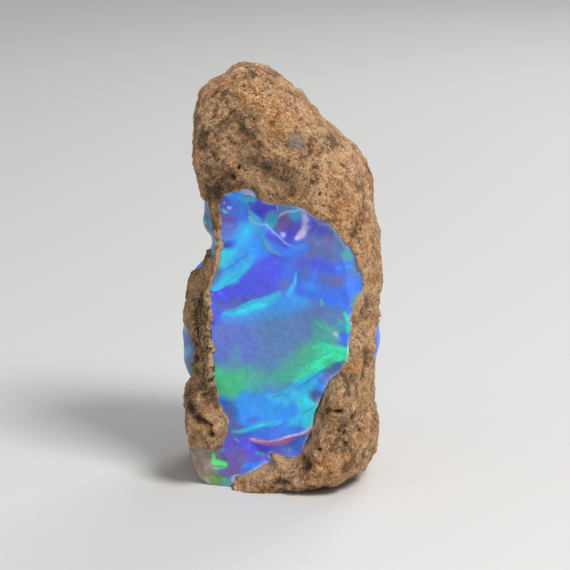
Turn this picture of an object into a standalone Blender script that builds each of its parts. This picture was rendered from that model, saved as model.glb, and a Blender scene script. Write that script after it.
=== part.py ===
"""A rough opal nodule standing on its base: a body of precious opal in a rind of brown host rock.

The nodule's outer form is a skin over four profiles (left, right, front and back) that run from the
middle of the base to the top. Host rock is that form with a pocket cut through it, and the opal fills
the pocket, from a broken face at the front to another at the back. Sizes below are in millimetres, and
the objects are built in metres: +X to the right, +Y to the back, +Z up, the origin on the resting face.
"""

import math

import bmesh
import bpy
import numpy as np

MM = 0.001

# The nodule's profiles, from just under the base, where it is cut flat, to just under the top. Left and
# right are seen from the front as (x, z), front and back from the side as (y, z).
TOP = (-3.2, 0.0, 39.9)
BASE_CENTRE = (0.0, 0.0, -0.4)
LEFT_PROFILE = [
    (-7.2, -0.4), (-8.6, 0.7), (-9.2, 2.6), (-9.6, 5.6), (-9.7, 8.4), (-10.1, 11.5), (-10.2, 15.0),
    (-10.1, 18.9), (-9.0, 20.4), (-7.4, 22.2), (-6.9, 23.5), (-7.4, 25.4), (-8.0, 28.2),
    (-8.6, 31.5), (-8.6, 35.0), (-7.5, 37.5), (-5.2, 39.3),
]
RIGHT_PROFILE = [
    (5.6, -0.4), (7.6, 0.6), (8.7, 2.4), (8.9, 5.2), (8.5, 7.6), (8.7, 10.5), (9.1, 13.8),
    (8.9, 17.2), (9.2, 19.6), (9.0, 23.4), (8.3, 26.4), (8.1, 29.4), (6.8, 31.8), (3.8, 34.4),
    (1.2, 37.1), (-1.2, 39.2),
]
FRONT_PROFILE = [
    (-6.2, -0.4), (-8.4, 0.8), (-9.6, 2.2), (-9.9, 8.0), (-9.5, 15.0), (-9.2, 22.0), (-8.9, 28.0),
    (-7.4, 33.0), (-5.0, 36.8), (-2.4, 39.1),
]
BACK_PROFILE = [
    (7.2, -0.4), (9.4, 1.2), (10.4, 4.2), (10.8, 10.0), (10.7, 16.0), (10.2, 22.0), (8.8, 28.0),
    (6.9, 33.0), (4.6, 36.8), (2.2, 39.1),
]
SIDE_DEPTH = 1.5          # y of the left and right profiles
# x of the front and back profiles, as (z, x)
RIDGE = [(-0.4, 0.0), (2.0, 1.0), (22.0, 2.0), (30.0, 1.0), (34.5, -1.2), (38.0, -3.0), (40.0, -3.2)]
CORNER_POWERS = {"back_right": 2.4, "back_left": 3.0, "front_left": 3.6, "front_right": 2.7}

# Broken faces. Each is a plane y = depth + slope * x that the rock stands a little proud of.
FRONT_BREAK = {"depth": -6.9, "slope": -0.27}
REAR_BREAK = {"depth": 9.0, "slope": -0.12}
ROCK_STANDS = [(0.0, 1.4), (9.0, 1.4), (14.0, 0.75), (22.0, 0.6)]     # proud of the front, as (z, height)
REAR_ROCK_STANDS = 0.7
BREAK_ROUNDING = 0.9      # how wide the rock's corner with a broken face is rounded
# The flaky wall behind the front break's left edge slants back and outwards from this edge, as (z, x).
LEFT_EDGE = [
    (0.0, -10.5), (7.6, -10.0), (9.6, -7.5), (13.0, -7.35), (19.0, -7.5), (22.0, -6.6),
    (27.0, -6.9), (31.0, -8.4), (40.0, -9.5),
]
LEFT_EDGE_DEPTH = -5.0
LEFT_WALL_SLANT = 0.25
LEFT_WALL_ROUNDING = 0.5

# Lumps (height over 0) and hollows (under 0) on the rock: centre, radius, height.
LUMPS = [
    ((-7.9, -6.2, 5.9), 2.0, 1.1),       # knob beside the opal's toe
    ((-7.6, -5.6, 9.6), 1.0, -0.7),      # neck between the knob and the flaky wall
    ((5.2, -8.2, 9.4), 2.3, 0.55),       # swelling under the opal's right shoulder
    ((4.8, -9.0, 3.6), 2.6, 0.35),       # foot of the rim, lower right
    ((7.6, -4.8, 20.5), 1.8, 0.35),      # bead on the right rim
    ((7.4, -5.0, 25.0), 2.0, 0.3),       # shoulder over the right rim
    ((-4.5, -7.6, 33.5), 2.8, -0.45),    # shallow valley down the cap
    ((-1.2, -7.4, 31.5), 2.2, 0.35),     # swelling right of the valley
    ((3.6, -5.8, 32.6), 2.2, -0.3),      # dip under the sloping shoulder
    ((-6.9, -4.5, 31.0), 2.4, 0.3),      # cheek on the cap's left
    ((5.5, 6.5, 31.0), 3.2, -0.6),       # hollow behind the shoulder
    ((-2.5, 9.6, 33.0), 3.0, 0.5),       # swelling on the back of the cap
    ((5.0, 8.6, 5.0), 3.0, 0.5),         # swelling low on the back
    ((8.4, 3.5, 27.0), 2.4, -0.4),       # dent on the right wall
]
# Creases pressed into the rock: a path, its width and its depth.
CREASES = [
    ([(7.4, -6.0, 16.5), (7.0, -7.0, 11.0), (7.2, -6.6, 5.0), (6.0, -7.6, 2.4)], 0.55, 0.42),
    ([(1.8, -8.8, 5.6), (4.2, -9.2, 6.4), (6.4, -7.6, 6.0)], 0.4, 0.35),
    ([(-9.0, -4.2, 7.0), (-7.6, -5.9, 5.2), (-6.2, -6.2, 4.6)], 0.35, 0.4),
    ([(-8.8, -3.0, 9.6), (-10.0, 1.5, 8.9), (-9.9, 6.0, 7.7), (-8.6, 9.4, 6.8)], 1.0, 0.95),
    ([(-8.7, -2.0, 30.5), (-7.9, -4.2, 28.0), (-7.0, -4.6, 25.0)], 0.5, 0.35),
    ([(1.0, 9.8, 30.5), (4.0, 8.4, 28.5), (7.6, 5.0, 27.6)], 0.6, 0.5),
]
ROLL = {"wavelength": 6.5, "height": 0.28, "seed": 3}       # long gentle unevenness
KNOBBLE = {"wavelength": 2.6, "height": 0.16, "seed": 8}    # thumb-print unevenness

# Shell-like bites in the opal's broken faces: centre (x, z), radius of the bite's outline, depth.
FRONT_BITES = [
    ((-4.6, 26.0), 3.4, 0.55), ((-0.4, 26.6), 2.2, 0.75), ((1.9, 26.0), 1.7, 0.6),
    ((-5.0, 21.0), 4.6, 0.35), ((2.4, 21.0), 5.2, 0.45), ((-1.0, 14.6), 6.8, 0.55),
    ((0.2, 8.2), 4.6, 0.5), ((-3.0, 3.2), 3.4, 0.45), ((4.6, 17.4), 2.6, 0.35),
]
REAR_BITES = [
    ((-6.2, 12.0), 5.0, 0.8), ((-2.0, 21.5), 5.6, 0.7), ((2.2, 14.5), 4.6, 0.6),
    ((6.4, 17.0), 3.6, 0.5), ((-6.6, 19.8), 3.4, 0.5),
]

# Outlines of the opal's windows. Front and rear are seen from the front as (x, z), and the two side
# windows from the side as (y, z).
FRONT_WINDOW = [
    (-5.5, 29.0), (-4.4, 29.2), (-3.5, 29.0), (-2.8, 28.2), (-1.2, 28.0), (0.6, 27.6), (1.8, 27.4),
    (3.0, 26.6), (4.2, 26.0), (5.3, 24.8), (6.1, 23.6), (6.8, 21.9), (7.0, 20.4), (6.9, 19.4),
    (6.3, 18.4), (6.1, 16.4), (6.0, 14.4), (5.9, 13.2), (5.2, 12.2), (4.2, 11.2), (3.4, 10.0),
    (3.0, 8.6), (2.5, 6.8), (2.1, 5.2), (1.5, 3.9), (0.4, 2.7), (-0.4, 2.5), (-1.6, 3.5),
    (-2.0, 2.2), (-3.4, 1.7), (-4.5, 1.1), (-5.1, 0.2), (-5.4, -2.0), (-12.0, -2.0), (-12.0, 3.4),
    (-9.2, 3.4), (-8.0, 3.0), (-6.9, 3.2), (-6.0, 4.0), (-5.5, 5.3), (-5.8, 6.8), (-6.4, 8.5),
    (-6.8, 9.6), (-6.9, 11.4), (-6.7, 12.6), (-6.9, 14.0), (-7.0, 16.8), (-6.9, 19.4), (-6.5, 20.7),
    (-6.0, 21.8), (-5.9, 23.2), (-6.1, 24.8), (-6.2, 26.8), (-6.0, 28.2),
]
REAR_WINDOW = [
    (-12.0, 8.6), (-12.0, 24.8), (-6.4, 26.4), (-2.4, 27.2), (0.8, 26.0), (3.0, 22.8), (6.0, 20.6),
    (7.2, 17.6), (6.4, 14.2), (4.4, 11.4), (1.0, 9.2), (-3.4, 8.4), (-7.0, 7.6),
]
LEFT_WINDOW = [
    (-4.0, 24.4), (-3.2, 26.0), (-0.6, 26.8), (4.0, 26.2), (10.0, 26.0), (10.0, 9.0), (5.0, 8.3),
    (1.0, 9.2), (-0.4, 10.8), (-0.2, 12.6), (1.8, 13.8), (4.4, 15.0), (5.6, 17.6), (4.6, 20.0),
    (2.0, 21.6), (-1.0, 22.4),
]
RIGHT_WINDOW = [
    (-1.8, 12.4), (-1.0, 14.4), (1.0, 15.4), (4.0, 15.8), (5.6, 14.4), (5.0, 12.4), (2.2, 11.2),
    (-0.6, 11.2),
]
CORE = [
    (-5.0, 7.0), (-5.4, 14.0), (-4.8, 24.4), (0.0, 25.0), (4.2, 21.0), (4.6, 15.0), (2.4, 9.6),
    (-1.5, 7.2),
]

FRONT_POCKET_FLOOR = -2.6     # how deep the front window's pocket goes, in y
REAR_POCKET_FLOOR = 4.2
LEFT_POCKET_FLOOR = -4.4      # and the side windows' pockets, in x
RIGHT_POCKET_FLOOR = 3.8
CORE_OVERLAP = 1.2            # how far the core runs into the front and rear pockets
GAP = 0.3                     # kept between the opal and the rock
BEYOND = 14.0                 # how far a pocket's cutter reaches out of the nodule

COLUMNS, ROWS = 72, 50        # the nodule's mesh, round and up
OUTLINE_STEP = 0.8            # between the points of a window's outline
NORMAL_STEP = 0.004           # the share of a turn and of the height over which a normal is taken
NOISE_LATTICE = 32            # cells before the noise repeats
WELD = 0.001                  # merges the caps of a cutter with its sides

ROCK_LOOK = {"base": (0.42, 0.27, 0.16), "roughness": 0.9}
OPAL_LOOK = {"base": (0.24, 0.46, 0.86), "roughness": 0.12}


def spline(points, at, closed=False):
    """Points of a Catmull-Rom curve through the given points, at shares of its chord length."""
    knots = np.asarray(points, float)
    if closed:
        knots = np.vstack([knots, knots[:1]])
    lengths = np.linalg.norm(np.diff(knots, axis=0), axis=1)
    where = np.concatenate([[0.0], np.cumsum(lengths)]) / lengths.sum()
    if closed:
        before, after = knots[-2], knots[1]
        gaps = np.concatenate([lengths[-1:], lengths, lengths[:1]])
    else:
        before, after = 2 * knots[0] - knots[1], 2 * knots[-1] - knots[-2]
        gaps = np.concatenate([lengths[:1], lengths, lengths[-1:]])
    wide = np.vstack([before, knots, after])
    slopes = (wide[2:] - wide[:-2]) / (gaps[1:] + gaps[:-1])[:, None]
    at = np.asarray(at, float)
    i = np.clip(np.searchsorted(where, at, side="right") - 1, 0, len(lengths) - 1)
    u = ((at - where[i]) / (where[i + 1] - where[i]))[..., None]
    start, end, scale = knots[i], knots[i + 1], lengths[i][..., None]
    return ((2 * u**3 - 3 * u**2 + 1) * start + (u**3 - 2 * u**2 + u) * scale * slopes[i]
            + (3 * u**2 - 2 * u**3) * end + (u**3 - u**2) * scale * slopes[i + 1])


def smooth_max(a, b, width):
    """The larger of two values, with the corner between them rounded over the given width."""
    blend = np.clip(0.5 + 0.5 * (a - b) / width, 0, 1)
    return b + (a - b) * blend + width * blend * (1 - blend)


def noise(points, wavelength, seed):
    """Smooth noise from -1 to 1: random values on a cubic lattice, blended with an S-shaped fade."""
    lattice = np.random.default_rng(seed).uniform(-1, 1, (NOISE_LATTICE,) * 3)
    cell = np.floor(points / wavelength).astype(int)
    part = points / wavelength - cell
    part = part**3 * (part * (part * 6 - 15) + 10)
    total = 0.0
    for corner in np.ndindex(2, 2, 2):
        weight = np.prod(np.where(corner, part, 1 - part), axis=-1)
        x, y, z = np.moveaxis((cell + corner) % NOISE_LATTICE, -1, 0)
        total = total + weight * lattice[x, y, z]
    return total


def meridian(profile, side):
    """A profile as points in space, from the middle of the base to the top."""
    if side:
        middle = [(a, SIDE_DEPTH, z) for a, z in profile]
    else:
        middle = [(np.interp(z, *np.transpose(RIDGE)), a, z) for a, z in profile]
    return [BASE_CENTRE, *middle, TOP]


def skin(around, up):
    """Points of the bare form: at each height, four quarters of a super-ellipse join the profiles."""
    right, left = (spline(meridian(p, True), up) for p in (RIGHT_PROFILE, LEFT_PROFILE))
    back, front = (spline(meridian(p, False), up) for p in (BACK_PROFILE, FRONT_PROFILE))
    centre = np.stack([(front[..., 0] + back[..., 0]) / 2, (left[..., 1] + right[..., 1]) / 2,
                       (left[..., 2] + right[..., 2] + front[..., 2] + back[..., 2]) / 4], axis=-1)
    across, along = np.cos(around), np.sin(around)
    power = np.where(along >= 0,
                     np.where(across >= 0, CORNER_POWERS["back_right"], CORNER_POWERS["back_left"]),
                     np.where(across >= 0, CORNER_POWERS["front_right"], CORNER_POWERS["front_left"]))
    reach = (np.abs(across) ** power + np.abs(along) ** power) ** (-1 / power)
    sideways = np.where(across[..., None] >= 0, right - centre, left - centre)
    lengthways = np.where(along[..., None] >= 0, back - centre, front - centre)
    reached = np.abs(across)[..., None] * sideways + np.abs(along)[..., None] * lengthways
    return centre + reach[..., None] * reached


def break_plane(face, x):
    """y of a broken face's plane at x."""
    return face["depth"] + face["slope"] * x


def bare_form(around, up):
    """The skin, flattened to the rock's front and back faces and to the slanting left wall."""
    points = skin(around, up)
    x, y, z = np.moveaxis(points, -1, 0)
    proud = np.interp(z, *np.transpose(ROCK_STANDS))
    y = smooth_max(y, break_plane(FRONT_BREAK, x) - proud, BREAK_ROUNDING)
    y = -smooth_max(-y, -break_plane(REAR_BREAK, x) - REAR_ROCK_STANDS, BREAK_ROUNDING)
    wall = np.interp(z, *np.transpose(LEFT_EDGE)) - LEFT_WALL_SLANT * (y - LEFT_EDGE_DEPTH)
    x = smooth_max(x, wall, LEFT_WALL_ROUNDING)
    return np.stack([x, y, z], axis=-1)


def relief(points):
    """How far the rock stands out of its bare form: lumps, creases and two scales of unevenness."""
    height = sum(n["height"] * noise(points, n["wavelength"], n["seed"]) for n in (ROLL, KNOBBLE))
    for centre, radius, rise in LUMPS:
        height += rise * np.exp(-np.sum((points - centre) ** 2, axis=-1) / radius**2)
    for path, width, depth in CREASES:
        nearest = np.full(points.shape[:-1], np.inf)
        for start, end in zip(np.array(path[:-1]), np.array(path[1:])):
            share = np.clip(((points - start) @ (end - start)) / ((end - start) @ (end - start)), 0, 1)
            away = points - start - share[..., None] * (end - start)
            nearest = np.minimum(nearest, np.linalg.norm(away, axis=-1))
        height -= depth * np.exp(-((nearest / width) ** 2))
    return height


def nodule(around, up):
    """Points of the nodule's outer surface: the bare form, moved along its normals by the relief."""
    middle = np.clip(up, NORMAL_STEP, 1 - NORMAL_STEP)
    over = bare_form(around, middle + NORMAL_STEP) - bare_form(around, middle - NORMAL_STEP)
    along = bare_form(around + NORMAL_STEP, middle) - bare_form(around - NORMAL_STEP, middle)
    normal = np.cross(along, over)
    normal /= np.linalg.norm(normal, axis=-1, keepdims=True)
    points = bare_form(around, up)
    return points + relief(points)[..., None] * normal


def bitten(face, bites, x, z):
    """y of a broken opal face: the plane, dug into by shell-like bites that meet in crisp ridges."""
    outward = math.copysign(1, face["depth"])
    dug = np.zeros_like(x)
    for (cx, cz), radius, depth in bites:
        dug = np.maximum(dug, depth * (1 - ((x - cx) ** 2 + (z - cz) ** 2) / radius**2))
    return break_plane(face, x) - outward * dug


def linked(name, data, collection):
    """A new object that shows the data, in the collection."""
    made = bpy.data.objects.new(name, data)
    collection.objects.link(made)
    return made


def sphere_mesh(name, place):
    """A UV sphere whose vertices are moved to place(round the axis, share of the way up)."""
    mesh = bpy.data.meshes.new(name)
    bm = bmesh.new()
    bmesh.ops.create_uvsphere(bm, u_segments=COLUMNS, v_segments=ROWS, radius=1.0)
    x, y, z = np.array([v.co for v in bm.verts]).T
    for vert, point in zip(bm.verts, place(np.arctan2(y, x), 1 - np.arccos(np.clip(z, -1, 1)) / math.pi)):
        vert.co = point * MM
    cut = bmesh.ops.bisect_plane(bm, geom=bm.verts[:] + bm.edges[:] + bm.faces[:], plane_co=(0, 0, 0),
                                 plane_no=(0, 0, -1), clear_outer=True)
    rim = [item for item in cut["geom_cut"] if isinstance(item, bmesh.types.BMEdge)]
    bmesh.ops.contextual_create(bm, geom=rim)
    bmesh.ops.recalc_face_normals(bm, faces=bm.faces[:])
    bm.to_mesh(mesh)
    bm.free()
    return mesh


def faced_nodule(around, up):
    """The nodule, cut back to the opal's two broken faces."""
    x, y, z = np.moveaxis(nodule(around, up), -1, 0)
    y = np.maximum(y, bitten(FRONT_BREAK, FRONT_BITES, x, z))
    y = np.minimum(y, bitten(REAR_BREAK, REAR_BITES, x, z))
    return np.stack([x, y, z], axis=-1)


def plug(name, outline, low, high, inset, cutters, sideways=False):
    """A solid with a window's outline from low to high in Y, or in X if sideways, drawn in by the inset."""
    count = round(np.linalg.norm(np.diff(outline, axis=0), axis=1).sum() / OUTLINE_STEP)
    points = spline(outline, np.arange(count) / count, closed=True)
    following = np.roll(points, -1, axis=0)
    if np.sum(points[:, 0] * following[:, 1] - points[:, 1] * following[:, 0]) < 0:
        points = points[::-1]
    curve = bpy.data.curves.new(name, "CURVE")
    curve.dimensions, curve.fill_mode = "2D", "BOTH"
    curve.extrude = ((high - low) / 2 - inset) * MM
    curve.offset = -inset * MM
    line = curve.splines.new("POLY")
    line.points.add(count - 1)
    flat = np.hstack([points * MM, np.zeros((count, 1)), np.ones((count, 1))])
    line.points.foreach_set("co", flat.ravel())
    line.use_cyclic_u = True
    guide = linked(name + "_curve", curve, cutters)
    middle = (low + high) / 2 * MM
    if sideways:
        guide.rotation_euler, guide.location = (math.pi / 2, 0, math.pi / 2), (middle, 0, 0)
    else:
        guide.rotation_euler, guide.location = (math.pi / 2, 0, 0), (0, middle, 0)
    bpy.context.view_layer.update()
    mesh = bpy.data.meshes.new_from_object(guide.evaluated_get(bpy.context.evaluated_depsgraph_get()))
    bm = bmesh.new()
    bm.from_mesh(mesh)
    bmesh.ops.remove_doubles(bm, verts=bm.verts[:], dist=WELD * MM)
    bmesh.ops.transform(bm, matrix=guide.matrix_world, verts=bm.verts[:])
    bmesh.ops.recalc_face_normals(bm, faces=bm.faces[:])
    bm.to_mesh(mesh)
    bm.free()
    bpy.data.objects.remove(guide)
    return helper(linked(name, mesh, cutters))


def helper(obj):
    """Marks a cutter, which isn't part of the nodule."""
    obj.hide_render = True
    obj.display_type = "WIRE"
    return obj


def boolean(obj, other, operation):
    """Adds a union, difference or intersection with another object."""
    modifier = obj.modifiers.new(f"{operation.lower()} {other.name}", "BOOLEAN")
    modifier.operation, modifier.object, modifier.solver = operation, other, "EXACT"


def finish_material(obj, look):
    """Gives the object a material of its own, with its colour and gloss."""
    material = bpy.data.materials.new(obj.name)
    material.use_nodes = True
    shader = material.node_tree.nodes["Principled BSDF"]
    shader.inputs["Base Color"].default_value = (*look["base"], 1)
    shader.inputs["Roughness"].default_value = look["roughness"]
    obj.data.materials.append(material)


def pocket(name, inset, cutters):
    """The space behind the windows, joined through the nodule by a core, and drawn in by the inset."""
    core_low, core_high = FRONT_POCKET_FLOOR - CORE_OVERLAP, REAR_POCKET_FLOOR + CORE_OVERLAP
    space = plug(name, FRONT_WINDOW, -BEYOND, FRONT_POCKET_FLOOR, inset, cutters)
    for side, outline, low, high, sideways in (
            ("rear", REAR_WINDOW, REAR_POCKET_FLOOR, BEYOND, False),
            ("core", CORE, core_low, core_high, False),
            ("left", LEFT_WINDOW, -BEYOND, LEFT_POCKET_FLOOR, True),
            ("right", RIGHT_WINDOW, RIGHT_POCKET_FLOOR, BEYOND, True)):
        boolean(space, plug(f"{name}_{side}", outline, low, high, inset, cutters, sideways), "UNION")
    return space


def host_rock(specimen, cutters):
    """The rind and cap of brown rock, with the pocket cut through it."""
    rock = linked("host_rock", sphere_mesh("host_rock", nodule), specimen)
    boolean(rock, pocket("pocket", 0.0, cutters), "DIFFERENCE")
    finish_material(rock, ROCK_LOOK)


def precious_opal(specimen, cutters):
    """The opal: what the pocket takes of the nodule, cut back to the broken faces and clear of the rock."""
    opal = linked("precious_opal", sphere_mesh("precious_opal", faced_nodule), specimen)
    boolean(opal, pocket("opal_blank", GAP, cutters), "INTERSECT")
    finish_material(opal, OPAL_LOOK)


def main():
    for obj in list(bpy.data.objects):
        bpy.data.objects.remove(obj)
    specimen = bpy.data.collections.new("rough_opal")
    cutters = bpy.data.collections.new("cutters")
    for collection in (specimen, cutters):
        bpy.context.scene.collection.children.link(collection)
    host_rock(specimen, cutters)
    precious_opal(specimen, cutters)


main()
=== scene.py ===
import math

import bpy
import numpy as np
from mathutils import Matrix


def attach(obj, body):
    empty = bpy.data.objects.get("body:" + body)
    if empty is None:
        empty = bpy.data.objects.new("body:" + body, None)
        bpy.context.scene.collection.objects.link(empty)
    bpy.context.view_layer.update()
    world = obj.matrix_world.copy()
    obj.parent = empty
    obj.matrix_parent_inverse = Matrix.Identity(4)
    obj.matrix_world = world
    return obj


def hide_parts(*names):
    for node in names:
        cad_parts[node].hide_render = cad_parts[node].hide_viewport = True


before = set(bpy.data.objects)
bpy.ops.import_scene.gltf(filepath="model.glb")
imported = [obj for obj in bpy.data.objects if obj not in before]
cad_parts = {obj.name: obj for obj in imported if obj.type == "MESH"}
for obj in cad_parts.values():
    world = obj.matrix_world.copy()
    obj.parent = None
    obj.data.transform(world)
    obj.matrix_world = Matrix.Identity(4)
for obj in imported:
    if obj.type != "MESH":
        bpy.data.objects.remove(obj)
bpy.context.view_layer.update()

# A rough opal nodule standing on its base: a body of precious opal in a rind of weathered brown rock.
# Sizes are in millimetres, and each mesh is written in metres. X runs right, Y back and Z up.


# ------------------------------------------------------------------------------------------------
# Camera. The stone is looked at from a little above its middle, straight on to the broken face of
# its opal, with a long lens, so its upright edges stay upright.
# ------------------------------------------------------------------------------------------------

MM = 0.001
VIEW_TARGET = (0.0, -2.0, 18.95)
VIEW_DISTANCE = 270.0
VIEW_ELEVATION = math.radians(14)
LENS = 179.68                 # on a sensor 36 wide
NEAREST, FARTHEST = 0.01, 20.0      # what the camera sees, in metres


def in_scene(name, data):
    """A new object in the scene, at the origin."""
    made = bpy.data.objects.new(name, data)
    bpy.context.scene.collection.objects.link(made)
    return made


camera = in_scene("camera", bpy.data.cameras.new("camera"))
camera.data.lens = LENS
camera.data.clip_start, camera.data.clip_end = NEAREST, FARTHEST
camera.rotation_euler = (math.pi / 2 - VIEW_ELEVATION, 0, 0)
camera.location = (VIEW_TARGET[0] * MM,
                   (VIEW_TARGET[1] - VIEW_DISTANCE * math.cos(VIEW_ELEVATION)) * MM,
                   (VIEW_TARGET[2] + VIEW_DISTANCE * math.sin(VIEW_ELEVATION)) * MM)
bpy.context.scene.camera = camera
bpy.context.scene.view_settings.view_transform = "Standard"


# ------------------------------------------------------------------------------------------------
# Host rock. Weathered volcanic rock that the opal grew in: a thick cap, and a rind round the sides
# and the foot. Its skin is a grid round the stone and up it, pitted and grainy, and it dips away
# under the opal wherever a window in the rind bares it.
# ------------------------------------------------------------------------------------------------

# The nodule's profiles, from just under the base, where it is cut flat, to just under the top.
TOP = (-3.2, 0.0, 39.9)
BASE_CENTRE = (0.0, 0.0, -0.4)
LEFT_PROFILE = [
    (-7.2, -0.4), (-8.6, 0.7), (-9.2, 2.6), (-9.6, 5.6), (-9.7, 8.4), (-10.1, 11.5), (-10.2, 15.0),
    (-10.1, 18.9), (-9.0, 20.4), (-7.4, 22.2), (-6.9, 23.5), (-7.4, 25.4), (-8.0, 28.2),
    (-8.6, 31.5), (-8.6, 35.0), (-7.5, 37.5), (-5.2, 39.3),
]
RIGHT_PROFILE = [
    (5.6, -0.4), (7.6, 0.6), (8.7, 2.4), (8.9, 5.2), (8.5, 7.6), (8.7, 10.5), (9.1, 13.8),
    (8.9, 17.2), (9.2, 19.6), (9.0, 23.4), (8.3, 26.4), (8.1, 29.4), (6.8, 31.8), (3.8, 34.4),
    (1.2, 37.1), (-1.2, 39.2),
]
FRONT_PROFILE = [
    (-6.2, -0.4), (-8.4, 0.8), (-9.6, 2.2), (-9.9, 8.0), (-9.5, 15.0), (-9.2, 22.0), (-8.9, 28.0),
    (-7.4, 33.0), (-5.0, 36.8), (-2.4, 39.1),
]
BACK_PROFILE = [
    (7.2, -0.4), (9.4, 1.2), (10.4, 4.2), (10.8, 10.0), (10.7, 16.0), (10.2, 22.0), (8.8, 28.0),
    (6.9, 33.0), (4.6, 36.8), (2.2, 39.1),
]
SIDE_DEPTH = 1.5              # y of the side profiles
RIDGE = [                     # z, and x there of the front and back profiles
    (-0.4, 0.0), (2.0, 1.0), (22.0, 2.0), (30.0, 1.0), (34.5, -1.2), (38.0, -3.0), (40.0, -3.2),
]
CORNER_POWERS = {             # of the super-ellipse's quarters: 2 is round, and more is squarer
    "back_right": 2.4, "back_left": 3.0, "front_left": 3.6, "front_right": 2.7,
}
FRONT_BREAK = {"depth": -6.9, "slope": -0.27}      # the planes of the opal's broken faces
REAR_BREAK = {"depth": 9.0, "slope": -0.12}
ROCK_STANDS = [(0.0, 1.4), (9.0, 1.4), (14.0, 0.75), (22.0, 0.6)]      # z, and how proud the rock is
REAR_ROCK_STANDS = 0.7
BREAK_ROUNDING = 0.9
LEFT_EDGE = [                 # z, and x of the left wall's front edge
    (0.0, -10.5), (7.6, -10.0), (9.6, -7.5), (13.0, -7.35), (19.0, -7.5), (22.0, -6.6),
    (27.0, -6.9), (31.0, -8.4), (40.0, -9.5),
]
LEFT_EDGE_DEPTH = -5.0        # its y
LEFT_WALL_SLANT = 0.25        # how far the wall runs outwards for each millimetre back
LEFT_WALL_ROUNDING = 0.5

# Lumps (height over 0) and hollows (under 0): centre, radius, height. Creases: path, width, depth.
LUMPS = [
    ((-7.7, -6.7, 5.9), 1.7, 1.15), ((-7.7, -5.6, 10.5), 0.8, -0.2), ((5.2, -8.2, 9.4), 2.3, 0.55),
    ((4.8, -9.0, 3.6), 2.6, 0.35), ((7.6, -4.8, 20.5), 1.8, 0.35), ((7.4, -5.0, 25.0), 2.0, 0.3),
    ((-4.5, -7.6, 33.5), 2.8, -0.45), ((-1.2, -7.4, 31.5), 2.2, 0.35), ((3.6, -5.8, 32.6), 2.2, -0.3),
    ((-6.9, -4.5, 31.0), 2.4, 0.3), ((5.5, 6.5, 31.0), 3.2, -0.6), ((-2.5, 9.6, 33.0), 3.0, 0.5),
    ((5.0, 8.6, 5.0), 3.0, 0.5), ((8.4, 3.5, 27.0), 2.4, -0.4), ((-9.4, 3.0, 10.8), 3.2, 0.45),
    ((-7.3, -7.3, 5.9), 1.0, 0.3), ((-8.4, -6.8, 9.0), 0.9, 0.3), ((5.0, -9.4, 10.2), 1.2, 0.55),
    ((3.2, -9.2, 6.4), 0.9, 0.25), ((5.6, -8.8, 3.4), 1.2, 0.25), ((-8.7, -5.9, 9.3), 0.8, 0.35),
    ((-7.9, -6.5, 8.6), 0.8, 0.35), ((-7.0, -6.9, 7.7), 0.7, 0.3), ((-9.3, 2.0, 20.4), 2.0, -1.15),
    ((-9.3, 5.4, 20.4), 2.0, -1.15), ((-9.7, 4.4, 12.6), 2.4, 0.4), ((-9.9, -3.6, 5.7), 2.4, -0.5),
    ((-9.9, 0.6, 6.2), 1.8, -0.4), ((-6.2, 1.0, 39.3), 1.7, -0.85), ((8.9, 0.0, 13.4), 2.2, 0.35),
    ((9.1, 1.6, 6.2), 2.0, -0.5), ((9.4, 1.0, 21.4), 1.8, -0.3), ((-7.2, -1.6, 25.0), 1.6, 0.6),
]
CREASES = [
    ([(7.4, -6.0, 16.5), (7.0, -7.0, 11.0), (7.2, -6.6, 5.0), (6.0, -7.6, 2.4)], 0.55, 0.42),
    ([(1.8, -8.8, 5.6), (4.2, -9.2, 6.4), (6.4, -7.6, 6.0)], 0.4, 0.35),
    ([(-9.0, -4.2, 7.0), (-7.6, -5.9, 5.2), (-6.2, -6.2, 4.6)], 0.35, 0.4),
    ([(-8.8, -3.0, 9.6), (-10.0, 1.5, 8.9), (-9.9, 6.0, 7.7), (-8.6, 9.4, 6.8)], 1.0, 0.95),
    ([(-8.7, -2.0, 30.5), (-7.9, -4.2, 28.0), (-7.0, -4.6, 25.0)], 0.5, 0.35),
    ([(1.0, 9.8, 30.5), (4.0, 8.4, 28.5), (7.6, 5.0, 27.6)], 0.6, 0.5),
]
UNEVENNESS = [(6.5, 0.28, 3), (2.6, 0.16, 8)]      # wavelength, height and seed of each noise

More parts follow.
